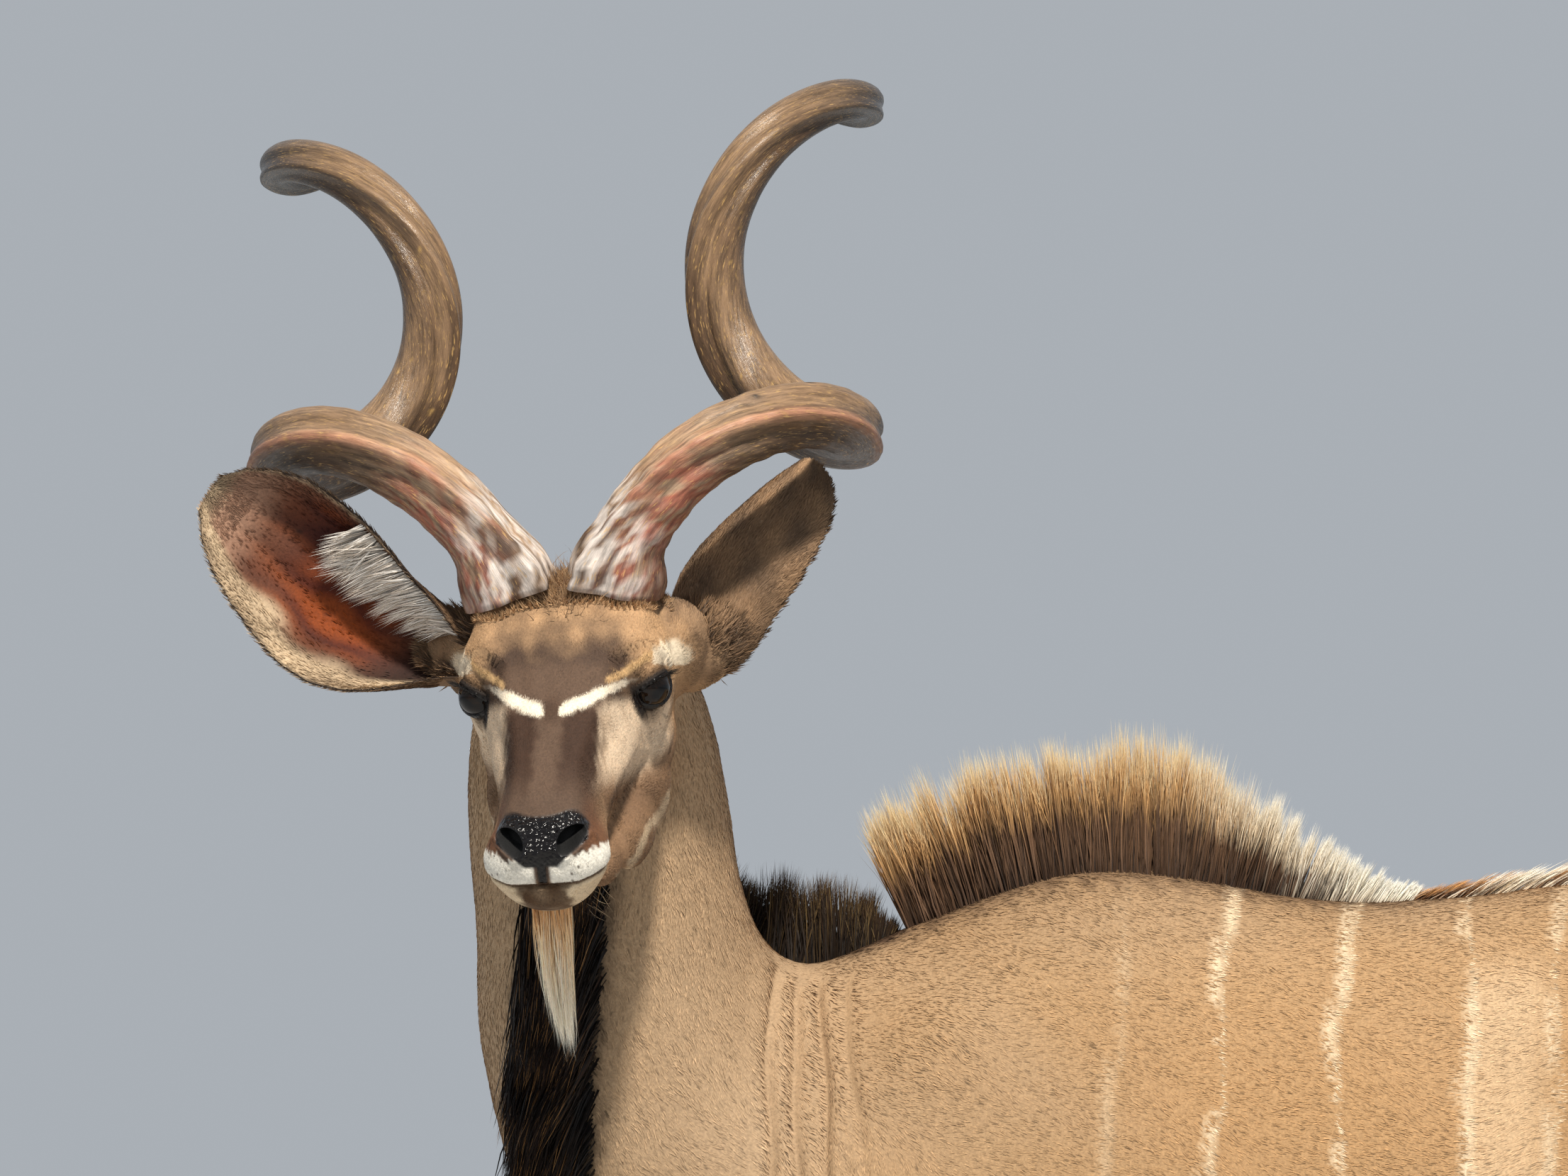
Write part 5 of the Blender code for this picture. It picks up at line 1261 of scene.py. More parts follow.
def fur(root, outward, size):
    count = len(root)
    part, uv, lie = body_map(root)
    # the lie wanders a little, in patches and hair by hair, and turns in the swirl of the flank
    lie = across(lie, outward)
    drift = 0.22 * ripple(root, 0.10, 31) + 0.20 * ripple(root, 0.018, 32) + 0.16 * CHANCE.normal(size=count)
    swirl = 0.9 * bell(root[:, 1], 0.40, 0.05) * bell(root[:, 2], 1.16, 0.12) * np.sign(root[:, 0])
    lie = lie + np.cross(outward, lie) * (drift + swirl)[:, None]
    speckle = smooth(0.7, 1.7, CHANCE.normal(size=count) + 0.5 * ripple(root, 0.012, 33))
    tone = coat_colour(root, part)
    tone = tone * (1 + 0.10 * CHANCE.normal(size=count) + 0.06 * ripple(root, 0.008, 34))[:, None]
    tone = tone * (1 - 0.40 * speckle * (1 - 0.7 * smooth(0.55, 0.8, tone.mean(1))))[:, None]
    length = (TUFT_LENGTH * size + 0.0006) * CHANCE.uniform(0.75, 1.25, count)
    width = (TUFT_WIDTH * size + 0.0002) * CHANCE.uniform(0.75, 1.25, count) * DRAFT
    raised = 0.055 + 0.06 * CHANCE.uniform(size=count) ** 3 + 0.02 * ripple(root, 0.03, 35)
    lift = length * np.clip(raised, 0.03, 0.3)
    # one piece for each part of the body, with the trunk in a front and a hind half and its pieces in pairs
    names = np.array([f"coat_{name}" for name in PARTS])[part]
    names = np.where(part == TRUNK_ID, np.where(root[:, 1] < 0.15, "coat_chest", "coat_rump"), names)
    left = np.where(part == HEAD_ID, head_local(root)[:, 1] > 0, root[:, 0] > 0)
    paired = np.isin(part, (TRUNK_ID, NECK_ID, HEAD_ID))
    names = np.where(paired, np.char.add(names, np.where(left, "_left", "_right")), names)
    for name in sorted(set(names)):
        own = np.flatnonzero(names == name)
        kites(name, *(row[own] for row in (root, lie, outward, length, width, lift, tone, uv)))


# ---------------------------------------------------------------- ears
def ear_frame(name):
    """An ear's root, tip, direction, the way its cup opens, the way across it, and its spread."""
    root, tip, opens_to, spread = EARS[name]
    start, end = np.array(round_head(*root)), np.array(round_head(*tip))
    along = unit(end - start)
    face = across(np.array(CROWN @ Vector(opens_to)), along)
    return start, end, along, face, -side_of(name) * np.cross(along, face), spread


def ear_point(name, share, over, inward):
    """A point of the ear: share of its length, -1 (lower edge) to 1 across, and how far in from its back."""
    start, end, _, face, wide, spread = ear_frame(name)
    rows = np.array(EAR)
    straight = np.stack([np.interp(share, rows[:, 0], rows[:, k]) for k in range(1, 4)], -1)
    rounded = curve(EAR, np.interp(share, rows[:, 0], np.linspace(0, 1, len(rows))))[:, 1:]
    shift, half_width, half_angle = (0.5 * straight + 0.5 * rounded).T
    half_angle = np.radians(half_angle)
    radius = half_width * spread / np.sin(np.minimum(half_angle, math.pi / 2))
    angle, reach = half_angle * over, radius - inward
    bow = -0.012 * np.sin(math.pi * np.maximum(share, 0))
    return (start + (end - start) * share[:, None] + wide * (reach * np.sin(angle) - shift * spread)[:, None]
            + face * (bow + radius - reach * np.cos(angle))[:, None])


def ear_back_colour(share, over):
    cloud = ripple(np.column_stack([share * 3, over * 2, 0 * share]), 0.9, 41)
    return layered(
        mix(srgb(172, 138, 104), srgb(122, 99, 78), 0.5 + 0.4 * cloud),
        (srgb(132, 104, 78), 0.6 * smooth(0.45, 0.1, share)),
        (srgb(214, 192, 160), 0.75 * smooth(0.70, 0.96, -over) * smooth(0.15, 0.35, share)),
        (srgb(70, 54, 42), smooth(0.955, 1.0, np.abs(over))))


def ear_cup_colour(share, over):
    spots = np.column_stack([share * 3, over * 2, 0 * share])
    cloud = ripple(spots, 0.9, 41)
    rays = 0.5 + 0.5 * np.sin(over * 17 + 1.5 * cloud + 3 * share)
    glow = bell(share, 0.42, 0.30) * smooth(-0.80, -0.3, over) * smooth(0.95, 0.7, over)
    red = bell(share, 0.48, 0.24) * bell(over, 0.45, 0.32)
    rim = (smooth(-0.50, -0.74, over + 0.08 * cloud) + smooth(0.92, 0.98, share) + smooth(0.90, 0.97, over)
           * 0.7)
    return layered(
        mix(srgb(128, 86, 64), srgb(90, 56, 40), 0.5 + 0.4 * cloud),
        (mix(srgb(140, 64, 18), srgb(84, 28, 8), rays), 1.1 * glow), (srgb(54, 9, 3), 1.35 * red),
        (srgb(36, 14, 8), smooth(0.30, 0.10, share) * 0.9),
        (srgb(46, 30, 22), 0.8 * bell(over, -0.55, 0.16) * smooth(0.60, 0.30, share)),
        (srgb(176, 138, 114), 0.8 * smooth(0.74, 0.90, share)),
        (mix(srgb(204, 180, 148), srgb(160, 138, 112), 0.5 + 0.5 * cloud),
         np.clip(rim, 0, 1) * smooth(0.02, 0.10, share)),
        (srgb(48, 36, 28), smooth(0.975, 0.995, np.abs(over)) + smooth(0.985, 1.0, share)),
        (srgb(18, 10, 8), smooth(1.25, 1.5, ripple(spots, 0.075, 43, 5)) * np.clip(glow + red, 0, 1)))


def ear_shell(name):
    """The ear's two walls, as thin as skin at the rim, which is a little ragged."""
    rows, columns = int(60 / DRAFT**2), int(40 / DRAFT**2)
    share, over = (grid.ravel() for grid in np.meshgrid(np.linspace(-0.04, 1.0, rows),
                                                        np.linspace(-1, 1, columns),
                                                        indexing="ij"))
    edge = np.maximum(smooth(0.80, 1.0, np.abs(over)), smooth(0.93, 1.0, share))
    ragged = 0.006 * edge * ripple(np.column_stack([share * 8, np.sign(over) * 3, 0 * share]), 0.55, 47)
    along = np.clip(share + 0.3 * ragged * (share > 0.9), -0.04, 1.0)
    outer = ear_point(name, along, over * (1 - np.abs(ragged)), 0.0012)
    inner = ear_point(name, along, over * (1 - np.abs(ragged)), 0.0012 + 0.0030 - 0.0018 * edge)
    ridges = 0.0011 * np.sin(over * 15 + 2 * share) * bell(over, 0.05, 0.5) * smooth(0.95, 0.5, share)
    inner = inner + ear_frame(name)[3] * np.maximum(ridges, -0.0006)[:, None]
    place = np.arange(rows * columns).reshape(rows, columns)
    quads = np.stack([place[:-1, :-1], place[:-1, 1:], place[1:, 1:], place[1:, :-1]], -1).reshape(-1, 4)
    faces = [quads, quads[:, ::-1] + place.size]
    for line in (place[0], place[-1], place[:, 0], place[:, -1]):
        faces.append(np.stack([line[:-1], line[1:], line[1:] + place.size, line[:-1] + place.size], 1))
    mesh = bulk_mesh(name, np.vstack([outer, inner]), np.vstack(faces))
    shape = bmesh.new()
    shape.from_mesh(mesh)
    bmesh.ops.recalc_face_normals(shape, faces=shape.faces)
    shape.to_mesh(mesh)
    shape.free()
    paint(mesh, "coat", np.vstack([ear_back_colour(share, over), ear_cup_colour(share, over)]))
    note(mesh, "wet", np.zeros(len(mesh.vertices)))
    placed(name + "_skin", mesh, "skin", "coat")


def ear_fur(name):
    """Fur: short on the back and the rim, almost none deep inside."""
    count = few(24000)
    s, a = CHANCE.uniform(0.0, 0.995, count), CHANCE.uniform(-1, 1, count)
    back = CHANCE.uniform(size=count) < 0.62
    furred = back | (np.abs(a) >= 0.62) | (s >= 0.85) | (CHANCE.uniform(size=count) >= 0.85)
    s, a, back = s[furred], a[furred], back[furred]
    count = len(s)
    depth = np.where(back, 0.0012, 0.0012 + 0.0030 - 0.0018 * smooth(0.80, 1.0, np.abs(a)))
    here = ear_point(name, s, a, depth)
    lie = unit(ear_point(name, np.minimum(s + 0.01, 1.0), a, depth) - here + 1e-7)
    sideways = unit(ear_point(name, s, np.clip(a + 0.02, -1.2, 1.2), depth) - here)
    outward = np.cross(lie, sideways)
    toward = ((ear_point(name, s, 0 * a, 0.03) - here) * outward).sum(1) > 0
    outward = np.where((toward == back)[:, None], -outward, outward)
    # near each edge the hair leans out over the rim
    lie = lie + sideways * (0.45 * np.sign(a) * smooth(0.5, 1.0, np.abs(a)))[:, None]
    lie = lie + 0.14 * CHANCE.normal(size=(count, 3))
    tone = np.where(back[:, None], ear_back_colour(s, a), ear_cup_colour(s, a))
    tone = tone * (1 + 0.12 * CHANCE.normal(size=count))[:, None]
    length = (np.where(back, 0.0080, 0.0075) * CHANCE.uniform(0.6, 1.3, count)
              * (1 - 0.35 * smooth(0.8, 1.0, s)))
    width = 0.0011 * CHANCE.uniform(0.7, 1.3, count)
    uv = np.stack([0.02 + 0.96 * s, np.where(back, 0.25, 0.75) + 0.23 * a], 1)
    kites("coat_" + name, here, lie, outward, length, width, length * 0.16, tone, uv)


def ear_fringe(name):
    """The long pale hair that crosses the opening from the ear's upper edge."""
    count = few(2200)
    s, a = CHANCE.uniform(0.03, 0.52, count), CHANCE.uniform(0.62, 0.97, count)
    foot = ear_point(name, s, a, 0.004)
    clumped = s + 0.10 + 0.05 * ripple(np.column_stack([s * 30, s, s]), 1.0, 61)
    target = ear_point(name, np.clip(clumped, 0, 1), a - 0.62, 0.012)
    face = ear_frame(name)[3]
    reach = CHANCE.uniform(0.55, 1.05, count) * smooth(0.60, 0.42, s) ** 0.5
    tip = (foot + (target - foot) * reach[:, None] + face
           * (0.004 + 0.003 * CHANCE.normal(size=count))[:, None])
    white = mix(srgb(204, 188, 170), srgb(253, 249, 242), CHANCE.uniform(size=count) ** 0.7)
    tones = white[:, None] * np.array((0.62, 0.85, 1.0, 1.05, 1.05))[:, None]
    width = 0.0011 * CHANCE.uniform(0.6, 1.3, count)
    locks("fringe_" + name, foot, tip, face * (0.007 * reach)[:, None], width, tones,
          np.stack([s, 0.5 + 0.4 * a], 1),
          "beard", finish="coat")


# ---------------------------------------------------------------- long hair
def heights(steps=5):
    return np.linspace(0, 1, steps)


def graded(*stops, steps=5):
    """Colours along a hair from stops: height, then red, green and blue as display values."""
    at, colours = [stop[0] for stop in stops], np.array([srgb(*stop[1:]) for stop in stops])
    return np.stack([np.interp(heights(steps), at, colours[:, k]) for k in range(3)], -1)


def varied(tones, chance, low=0.8, more=0.4):
    """Some hairs lighter than others."""
    return tones * (low + more * (chance * 9.1 % 1))[:, None, None]


def crest_tone(place, chance):
    """Brown hair with golden tips, that turns white towards its hind end."""
    front = graded((0, 60, 44, 33), (0.20, 98, 74, 56), (0.50, 112, 84, 62), (0.70, 176, 128, 80),
                   (0.84, 238, 196, 134), (1, 253, 234, 190))
    back = graded((0, 46, 34, 26), (0.25, 66, 48, 36), (0.52, 104, 78, 58), (0.70, 226, 204, 168),
                  (1, 253, 248, 234))
    white = graded((0, 84, 64, 48), (0.18, 170, 146, 118), (0.34, 244, 234, 212), (1, 253, 249, 238))
    ragged = place + 0.12 * (chance - 0.5)
    to_white = smooth(0.72, 0.90, ragged)
    dark = ((chance * 13.7 % 1 < 0.30) * (1 - to_white))[:, None] * smooth(0.95, 0.35, heights())
    tones = layered(front, (back, smooth(0.52, 0.70, ragged)[:, None]), (white, to_white[:, None]),
                    (srgb(50, 36, 27), 0.6 * dark))
    return tones * (0.80 + 0.36 * (chance * 7.3 % 1))[:, None, None]


def spine_tone(place, chance):
    pale = graded((0, 196, 170, 138), (0.5, 236, 222, 198), (1, 252, 246, 232))
    dark = graded((0, 48, 34, 24), (0.5, 112, 74, 44), (1, 222, 166, 104))
    patch = ripple(np.column_stack([place * 20, 0 * place, 0 * place]), 2.2, 81)
    return varied(mix(pale, dark, smooth(-0.15, 0.25, patch + 1.6 * (chance - 0.5))[:, None]), chance)


def nape_tone(place, chance):
    dark = graded((0, 26, 19, 14), (0.7, 42, 31, 22), (1, 70, 50, 32))
    gold = graded((0, 46, 34, 22), (0.5, 76, 60, 38), (1, 132, 108, 70))
    return varied(mix(dark, gold, 0.8 * (chance < 0.22)[:, None]), chance)


def throat_tone(place, chance):
    dark = graded((0, 15, 10, 8), (0.75, 22, 15, 11), (1, 44, 29, 20))
    gold = graded((0, 30, 20, 14), (0.55, 70, 44, 26), (1, 190, 140, 84))
    tones = layered(dark, (gold, 1.0 * (chance < 0.09)[:, None]),
                    (srgb(196, 168, 130), 0.75 * smooth(0.22, 0.10, place)[:, None]))
    return varied(tones, chance, 0.75, 0.5)


def blade_hair(name, rows, count, width, tone, node, clumps, uneven, pull=0.55, reaches=(0.74, 1.04),
               rooted=0.12,
               lay=0.0, sag=(0, 0, 0), spread=0.5):
    """Hair in clumps that fills the outline of a solid's blade; tone(place, chance) gives its colours."""
    count = few(count)
    place = (np.arange(count) + CHANCE.uniform(size=count)) / count
    s = CHANCE.uniform(-1, 1, count)
    ladder = np.sort(CHANCE.uniform(size=clumps))
    clump = np.minimum(np.searchsorted(ladder, place + CHANCE.normal(size=count) * 0.5 / clumps), clumps - 1)
    clump_reach = CHANCE.uniform(*reaches, clumps)[clump]
    clump_lean = CHANCE.normal(size=clumps)[clump]
    clump_side = CHANCE.uniform(-1, 1, clumps)[clump]
    row = curve(rows, place)
    foot, wide = row[:, :3], row[:, 6]
    along = way(curve(rows, 200)[:, :3])[np.minimum((place * 199).astype(int), 199)]
    # towards the clump's own tip, but not much longer than the blade is tall here
    rise = curve(rows, np.clip(place + pull * (ladder[clump] - place), 0, 1))[:, 3:6] - foot
    most = 1.15 * np.linalg.norm(row[:, 3:6] - foot, axis=1)
    rise = rise * np.minimum(1, most / np.linalg.norm(rise, axis=1))[:, None]
    beside, tall = unit(np.cross(along, rise)), np.linalg.norm(rise, axis=1)[:, None]
    reach = clump_reach * (1 - 0.14 * CHANCE.uniform(size=count) ** 1.5) * (1 - 0.16 * np.abs(s) ** 2.2)
    lean = along * (uneven * (0.55 * clump_lean + 0.45 * CHANCE.normal(size=count)) + lay)[:, None]
    sideways = beside * (spread * (0.6 * s + 0.4 * clump_side) * wide / np.maximum(tall[:, 0], 0.02)
                         + uneven * 0.35 * CHANCE.normal(size=count))[:, None]
    start = foot - rise * rooted + beside * (s * wide)[:, None]
    end = foot + rise * reach[:, None] + (lean + sideways) * tall + beside * (s * wide * 0.35)[:, None]
    bow = np.array(sag) * tall - lean * tall * 0.18 + CHANCE.normal(size=(count, 3)) * 0.015 * tall
    tones = tone(place, CHANCE.uniform(size=count))
    uv = np.stack([0.02 + 0.96 * place, 0.5 + 0.45 * s], 1)
    locks(name, start, end, bow, width * CHANCE.uniform(0.6, 1.35, count), tones, uv, "mane", node)


def beard_hair():
    count, strands = few(2600), 34
    place = CHANCE.uniform(0, 0.45, count) ** 1.5
    angle, far = CHANCE.uniform(0, math.tau, count), np.sqrt(CHANCE.uniform(size=count))
    row, low = curve(BEARD, place), curve(BEARD, np.clip(place + CHANCE.uniform(0.35, 0.62, count), 0, 1))
    strand = CHANCE.integers(0, strands, count)
    strand_angle = CHANCE.uniform(0, math.tau, strands)[strand]
    strand_far = np.sqrt(CHANCE.uniform(size=strands))[strand]

    def ring(values, angle, far):
        deep, wide = values[:, 4] * far * np.cos(angle), values[:, 3] * far * np.sin(angle)
        return values[:, :3] + np.stack([deep, wide, 0 * angle], 1)

    foot = ring(row, angle, 0.8 * far) + (0, 0, 0.012)
    angle, far = angle + 0.7 * (strand_angle - angle), far + 0.75 * (strand_far - far)
    tip = ring(low, angle, 0.85 * far) + CHANCE.normal(size=(count, 3)) * (0.0022, 0.0022, 0.004)
    bow = CHANCE.normal(size=(count, 3)) * 0.0018
    tones = graded((0, 206, 156, 104), (0.35, 244, 208, 160), (1, 255, 248, 232), steps=6)
    tones = tones * (0.86 + 0.34 * CHANCE.uniform(size=count))[:, None, None]
    uv = np.stack([0.02 + 0.9 * place, angle / math.tau], 1)
    locks("beard_hair", foot, tip, bow, 0.0011 * CHANCE.uniform(0.5, 1.3, count), tones, uv, "beard", "beard")


def tail_hair():
    """Hair along the tail: brown over it, white under it, black at its end."""
    count = few(5200)
    place = CHANCE.uniform(0.12, 0.90, count)
    angle = CHANCE.uniform(-math.pi, math.pi, count)
    round_tail = np.stack([np.sin(angle), np.cos(angle)], 1)
    along = way(curve(TAIL, 100)[:, :3])[(place * 99).astype(int)]
    outward = across(np.column_stack([round_tail, 0 * angle]), along)
    length = (0.035 + 0.055 * smooth(0.3, 0.8, place)) / 0.56  # as a share of the tail's
    row, end_row = curve(TAIL, place), curve(TAIL, np.clip(place + length, 0, 1))
    thick, end_thick = (np.linalg.norm(rows[:, 3:5] * round_tail, axis=1)[:, None] for rows in (row, end_row))
    foot = row[:, :3] + outward * thick * (TAIL_SLIM * 0.9)
    tip = end_row[:, :3] + outward * end_thick * (0.98 * CHANCE.uniform(0.75, 1.0, count))[:, None]
    front = smooth(-0.2, -0.6, np.cos(angle))  # the side towards the rump is the tail's underside
    colour = layered(srgb(150, 112, 76), (srgb(104, 76, 52), CHANCE.uniform(size=count)),
                     (srgb(244, 236, 222), front),
                     (srgb(28, 20, 15), smooth(0.58, 0.68, place)))
    tones = colour[:, None] * (0.75 + 0.4 * heights(6))[:, None]
    tones = tones * (0.8 + 0.4 * CHANCE.uniform(size=count))[:, None, None]
    uv = np.stack([place, angle / math.tau + 0.5], 1)
    locks("tail_hair", foot, tip, outward * 0.004, 0.0026 * CHANCE.uniform(0.6, 1.3, count), tones, uv,
          "coat")


def lashes(side):
    """Foot, tip, colour and width of each lash of an upper lid, in two rows."""
    for share in np.linspace(-0.95, 0.30, 46):
        for drop in (0, 0.0006):
            a, b = LID_LONG * share, LID_HIGH * max(0, 1 - share * share) ** LID_ROUND_HIGH + 0.0008 - drop
            spot = (EYE_LONG * a + EYE_TALL * b + EYE_LOOK
                    * math.sqrt(max(EYE_RADIUS**2 - a * a - b * b, 1e-6)))
            foot = spot * (1 + 0.0022 / EYE_RADIUS)
            tip = foot + spot / EYE_RADIUS * 0.0085 - EYE_TALL * 0.0015 + EYE_LONG * (0.003 * share - 0.003)
            tip = tip + CHANCE.normal(size=3) * 0.0008
            foot, tip = (head_world((end + EYE_PLACE) * (1, side, 1)) for end in (foot, tip))
            yield foot, tip, srgb(20, 15, 12), 0.00045


def whiskers(side):
    for k in range(26):
        forward, left, up = (CHANCE.uniform(*span) for span in ((0.20, 0.252), (0.022, 0.05),
                                                                (-0.088, -0.048)))
        foot = np.array((forward, side * left * 0.8, up))
        grow = unit(np.array((0.5, side * 0.9, -0.75)) + 0.3 * CHANCE.normal(size=3))
        tip = foot + grow * CHANCE.uniform(0.018, 0.034)
        yield head_world(foot), head_world(tip), srgb(150, 130, 104) if k % 3 else srgb(40, 30, 24), 0.00045


def brow_tuft():
    for _ in range(few(1300)):
        foot = np.array((CHANCE.normal(-0.050, 0.016), CHANCE.normal(0, 0.011), 0.066))
        grow = unit(np.array((0.25 - 0.6 * CHANCE.uniform(), 0.5 * CHANCE.normal() + 12 * foot[1], 1.0)))
        tip = foot + grow * CHANCE.uniform(0.012, 0.026)
        yield head_world(foot), head_world(tip), mix(srgb(128, 102, 78), srgb(190, 156, 118),
                                                     CHANCE.uniform()), 0.0009


def face_hair():
    """Lashes, whiskers, and the tuft between the horns."""
    rows = [row for side in (1, -1) for grow in (lashes, whiskers) for row in grow(side)] + list(brow_tuft())
    foot, tip, tones, width = (np.array(column) for column in zip(*rows))
    bow = CHANCE.normal(size=foot.shape) * 0.0012
    shades = tones[:, None] * np.array((0.75, 0.95, 1.05, 1.15))[:, None]
    uv = 0.5 + head_local(foot)[:, :2] * (1, 2)
    locks("face_hair", foot, tip, bow, width, shades, uv, "coat", finish="coat")


# ---------------------------------------------------------------- horns
def horn_row(halves, k):
    return np.interp(halves, [row[0] for row in HORN], [row[k] for row in HORN])


def horn_middle(turn, side):
    """The horn's middle line: a spiral that leans back, a little uneven from one horn to the other."""
    halves = turn / math.pi
    ramp = min(1, max(0, halves + 1) * 2)
    ahead, outward, up = HORN_AXIS
    outward += 0.0052 * halves - side * (0.0037 + HORN_LEAN * halves**2) * ramp
    up += horn_row(halves, 3) + side * HORN_UNEVEN * halves * ramp
    radius = horn_row(halves, 1)
    along, lift = HORN_RISE * turn / math.tau, -radius * math.sin(turn)
    return round_head(ahead - along * math.cos(HORN_TILT) + lift * math.sin(HORN_TILT),
                      side * (outward + radius * math.cos(turn)),
                      up + along * math.sin(HORN_TILT) + lift * math.cos(HORN_TILT))


def horn_frame(side, rings):
    """The horn's middle line, and at each of its rings the way of the keel and of the flank."""
    turns = np.linspace(HORN_START, HORN_END, rings)
    line = np.array([horn_middle(turn, side) for turn in turns])
    for _ in range(6):
        line[1:-1] = 0.25 * line[:-2] + 0.5 * line[1:-1] + 0.25 * line[2:]
    along = way(line)
    tilt_cos, tilt_sin = math.cos(HORN_TILT), math.sin(HORN_TILT)
    outside = np.stack([-np.sin(turns) * tilt_sin, side * np.cos(turns), -np.sin(turns) * tilt_cos], 1)
    outside = across(outside @ np.array(CROWN).T, along)
    axis = np.array((CROWN @ Vector((-tilt_cos, 0, tilt_sin))).normalized())
    back = across(across(-np.tile(axis, (rings, 1)), along), outside)
    keel = outside * math.cos(KEEL_ANGLE) + back * math.sin(KEEL_ANGLE)
    return line, keel, np.cross(along, keel), horn_row(turns / math.pi, 2)


def nearest_skin(tree, point):
    """How far a point stands out of the finished skin, the skin's nearest place, and its direction there."""
    point = Vector(point) + SHIFT
    spot, normal, _, _ = tree.find_nearest(point)
    return (point - spot) @ normal, np.array(spot - SHIFT), np.array(normal)


def make_horn(name, tree):
    side, rings, sides = side_of(name), int(300 / DRAFT**3), int(56 / DRAFT**2)
    line, keel, flank, thick = horn_frame(side, rings)
    length = np.concatenate([[0], np.cumsum(np.linalg.norm(np.diff(line, axis=0), axis=1))])
    s, a = np.meshgrid(length / length[-1], np.linspace(0, math.tau, sides, endpoint=False), indexing="ij")
    far, off = s * length[-1], np.minimum(a, math.tau - a)
    ring = keel[:, None] * np.cos(a)[..., None] + flank[:, None] * (0.95 * np.sin(a))[..., None]
    around = np.stack([far, 0.035 * np.cos(a), 0.035 * np.sin(a)], -1)

    def field(stretch, size, seed):
        """Bumps on the horn, drawn out along it where stretch is small."""
        return ripple(around.reshape(-1, 3) * (stretch, 1, 1), size, seed).reshape(s.shape)

    # coarse wrinkles at the base that die away up the horn, and grooves that run along it
    base = smooth(0.42, 0.0, s)
    lumps = ripple(around.reshape(-1, 3) * (1.0, 0.9, 0.9), 0.022, 71 + side).reshape(s.shape)
    knobs = np.sin(far * 330 + 2.0 * np.sin(far * 41)) * bell(off, 0, 0.5)
    relief = base * (0.0011 * lumps + 0.0009 * field(0.16, 0.026, 75 + side) + 0.0009 * knobs)
    relief = ((relief + 0.00050 * field(0.10, 0.011, 73 + side) * (0.4 + base)) * smooth(1.0, 0.9, s)
              - 0.0012 * base)
    leaves_brow = next(k for k, point in enumerate(line) if nearest_skin(tree, point)[0] > 0)
    rise = far - far[leaves_brow, 0]
    profile = 0.975 + 0.22 * bell(off, 0, 0.19) - 0.14 * bell(off, 0.58, 0.24)
    reach = thick[:, None] * profile * 0.985 * (1 + 0.30 * smooth(0.045, 0.004, rise)) + relief
    grid = line[:, None] + ring * reach[..., None]
    mesh = tube(name, grid)

    colour = horn_colour(side, s, off, rise, unit(ring), field)
    if side > 0:  # three small pits on top of the left horn's first curl, only painted, as dark spots of painted shade
        for along_horn, aside in ((0.205, 0.12), (0.262, -0.05), (0.290, 0.06)):
            k = int(np.searchsorted(far[:, 0], along_horn))
            crown = a[k, np.argmax(unit(ring[k]) @ unit(np.array((0.45, -0.1, 1.0))))] + aside
            turned = np.abs((a - crown + math.pi) % math.tau - math.pi) * thick[:, None]
            pit_shade = np.exp(-(((far - along_horn) / 0.0035) ** 2) - (turned / 0.0030) ** 2)
            # painted shade: the pits are dark spots only, with no dent in the mesh
            colour = mix(colour, srgb(22, 16, 12), np.clip(1.4 * pit_shade, 0, 1))
    paint(mesh, "coat", np.vstack([colour.reshape(-1, 3), colour[0].mean(0), colour[-1].mean(0)]))
    note(mesh, "rough", np.append(0.35 + 0.18 * base - 0.10 * smooth(0.3, 0.6, s), (0.5, 0.3)))
    grain = np.stack([far * 34, 9 * np.cos(a), 9 * np.sin(a)], -1).reshape(-1, 3)
    layer = mesh.attributes.new("grain", "FLOAT_VECTOR", "POINT")
    layer.data.foreach_set("vector", np.vstack([grain, np.zeros((2, 3))]).astype(np.float32).ravel())
    placed(name + "_detail", mesh, "horn", "horn", name)
    horn_skirt(name, grid[:40], tree)


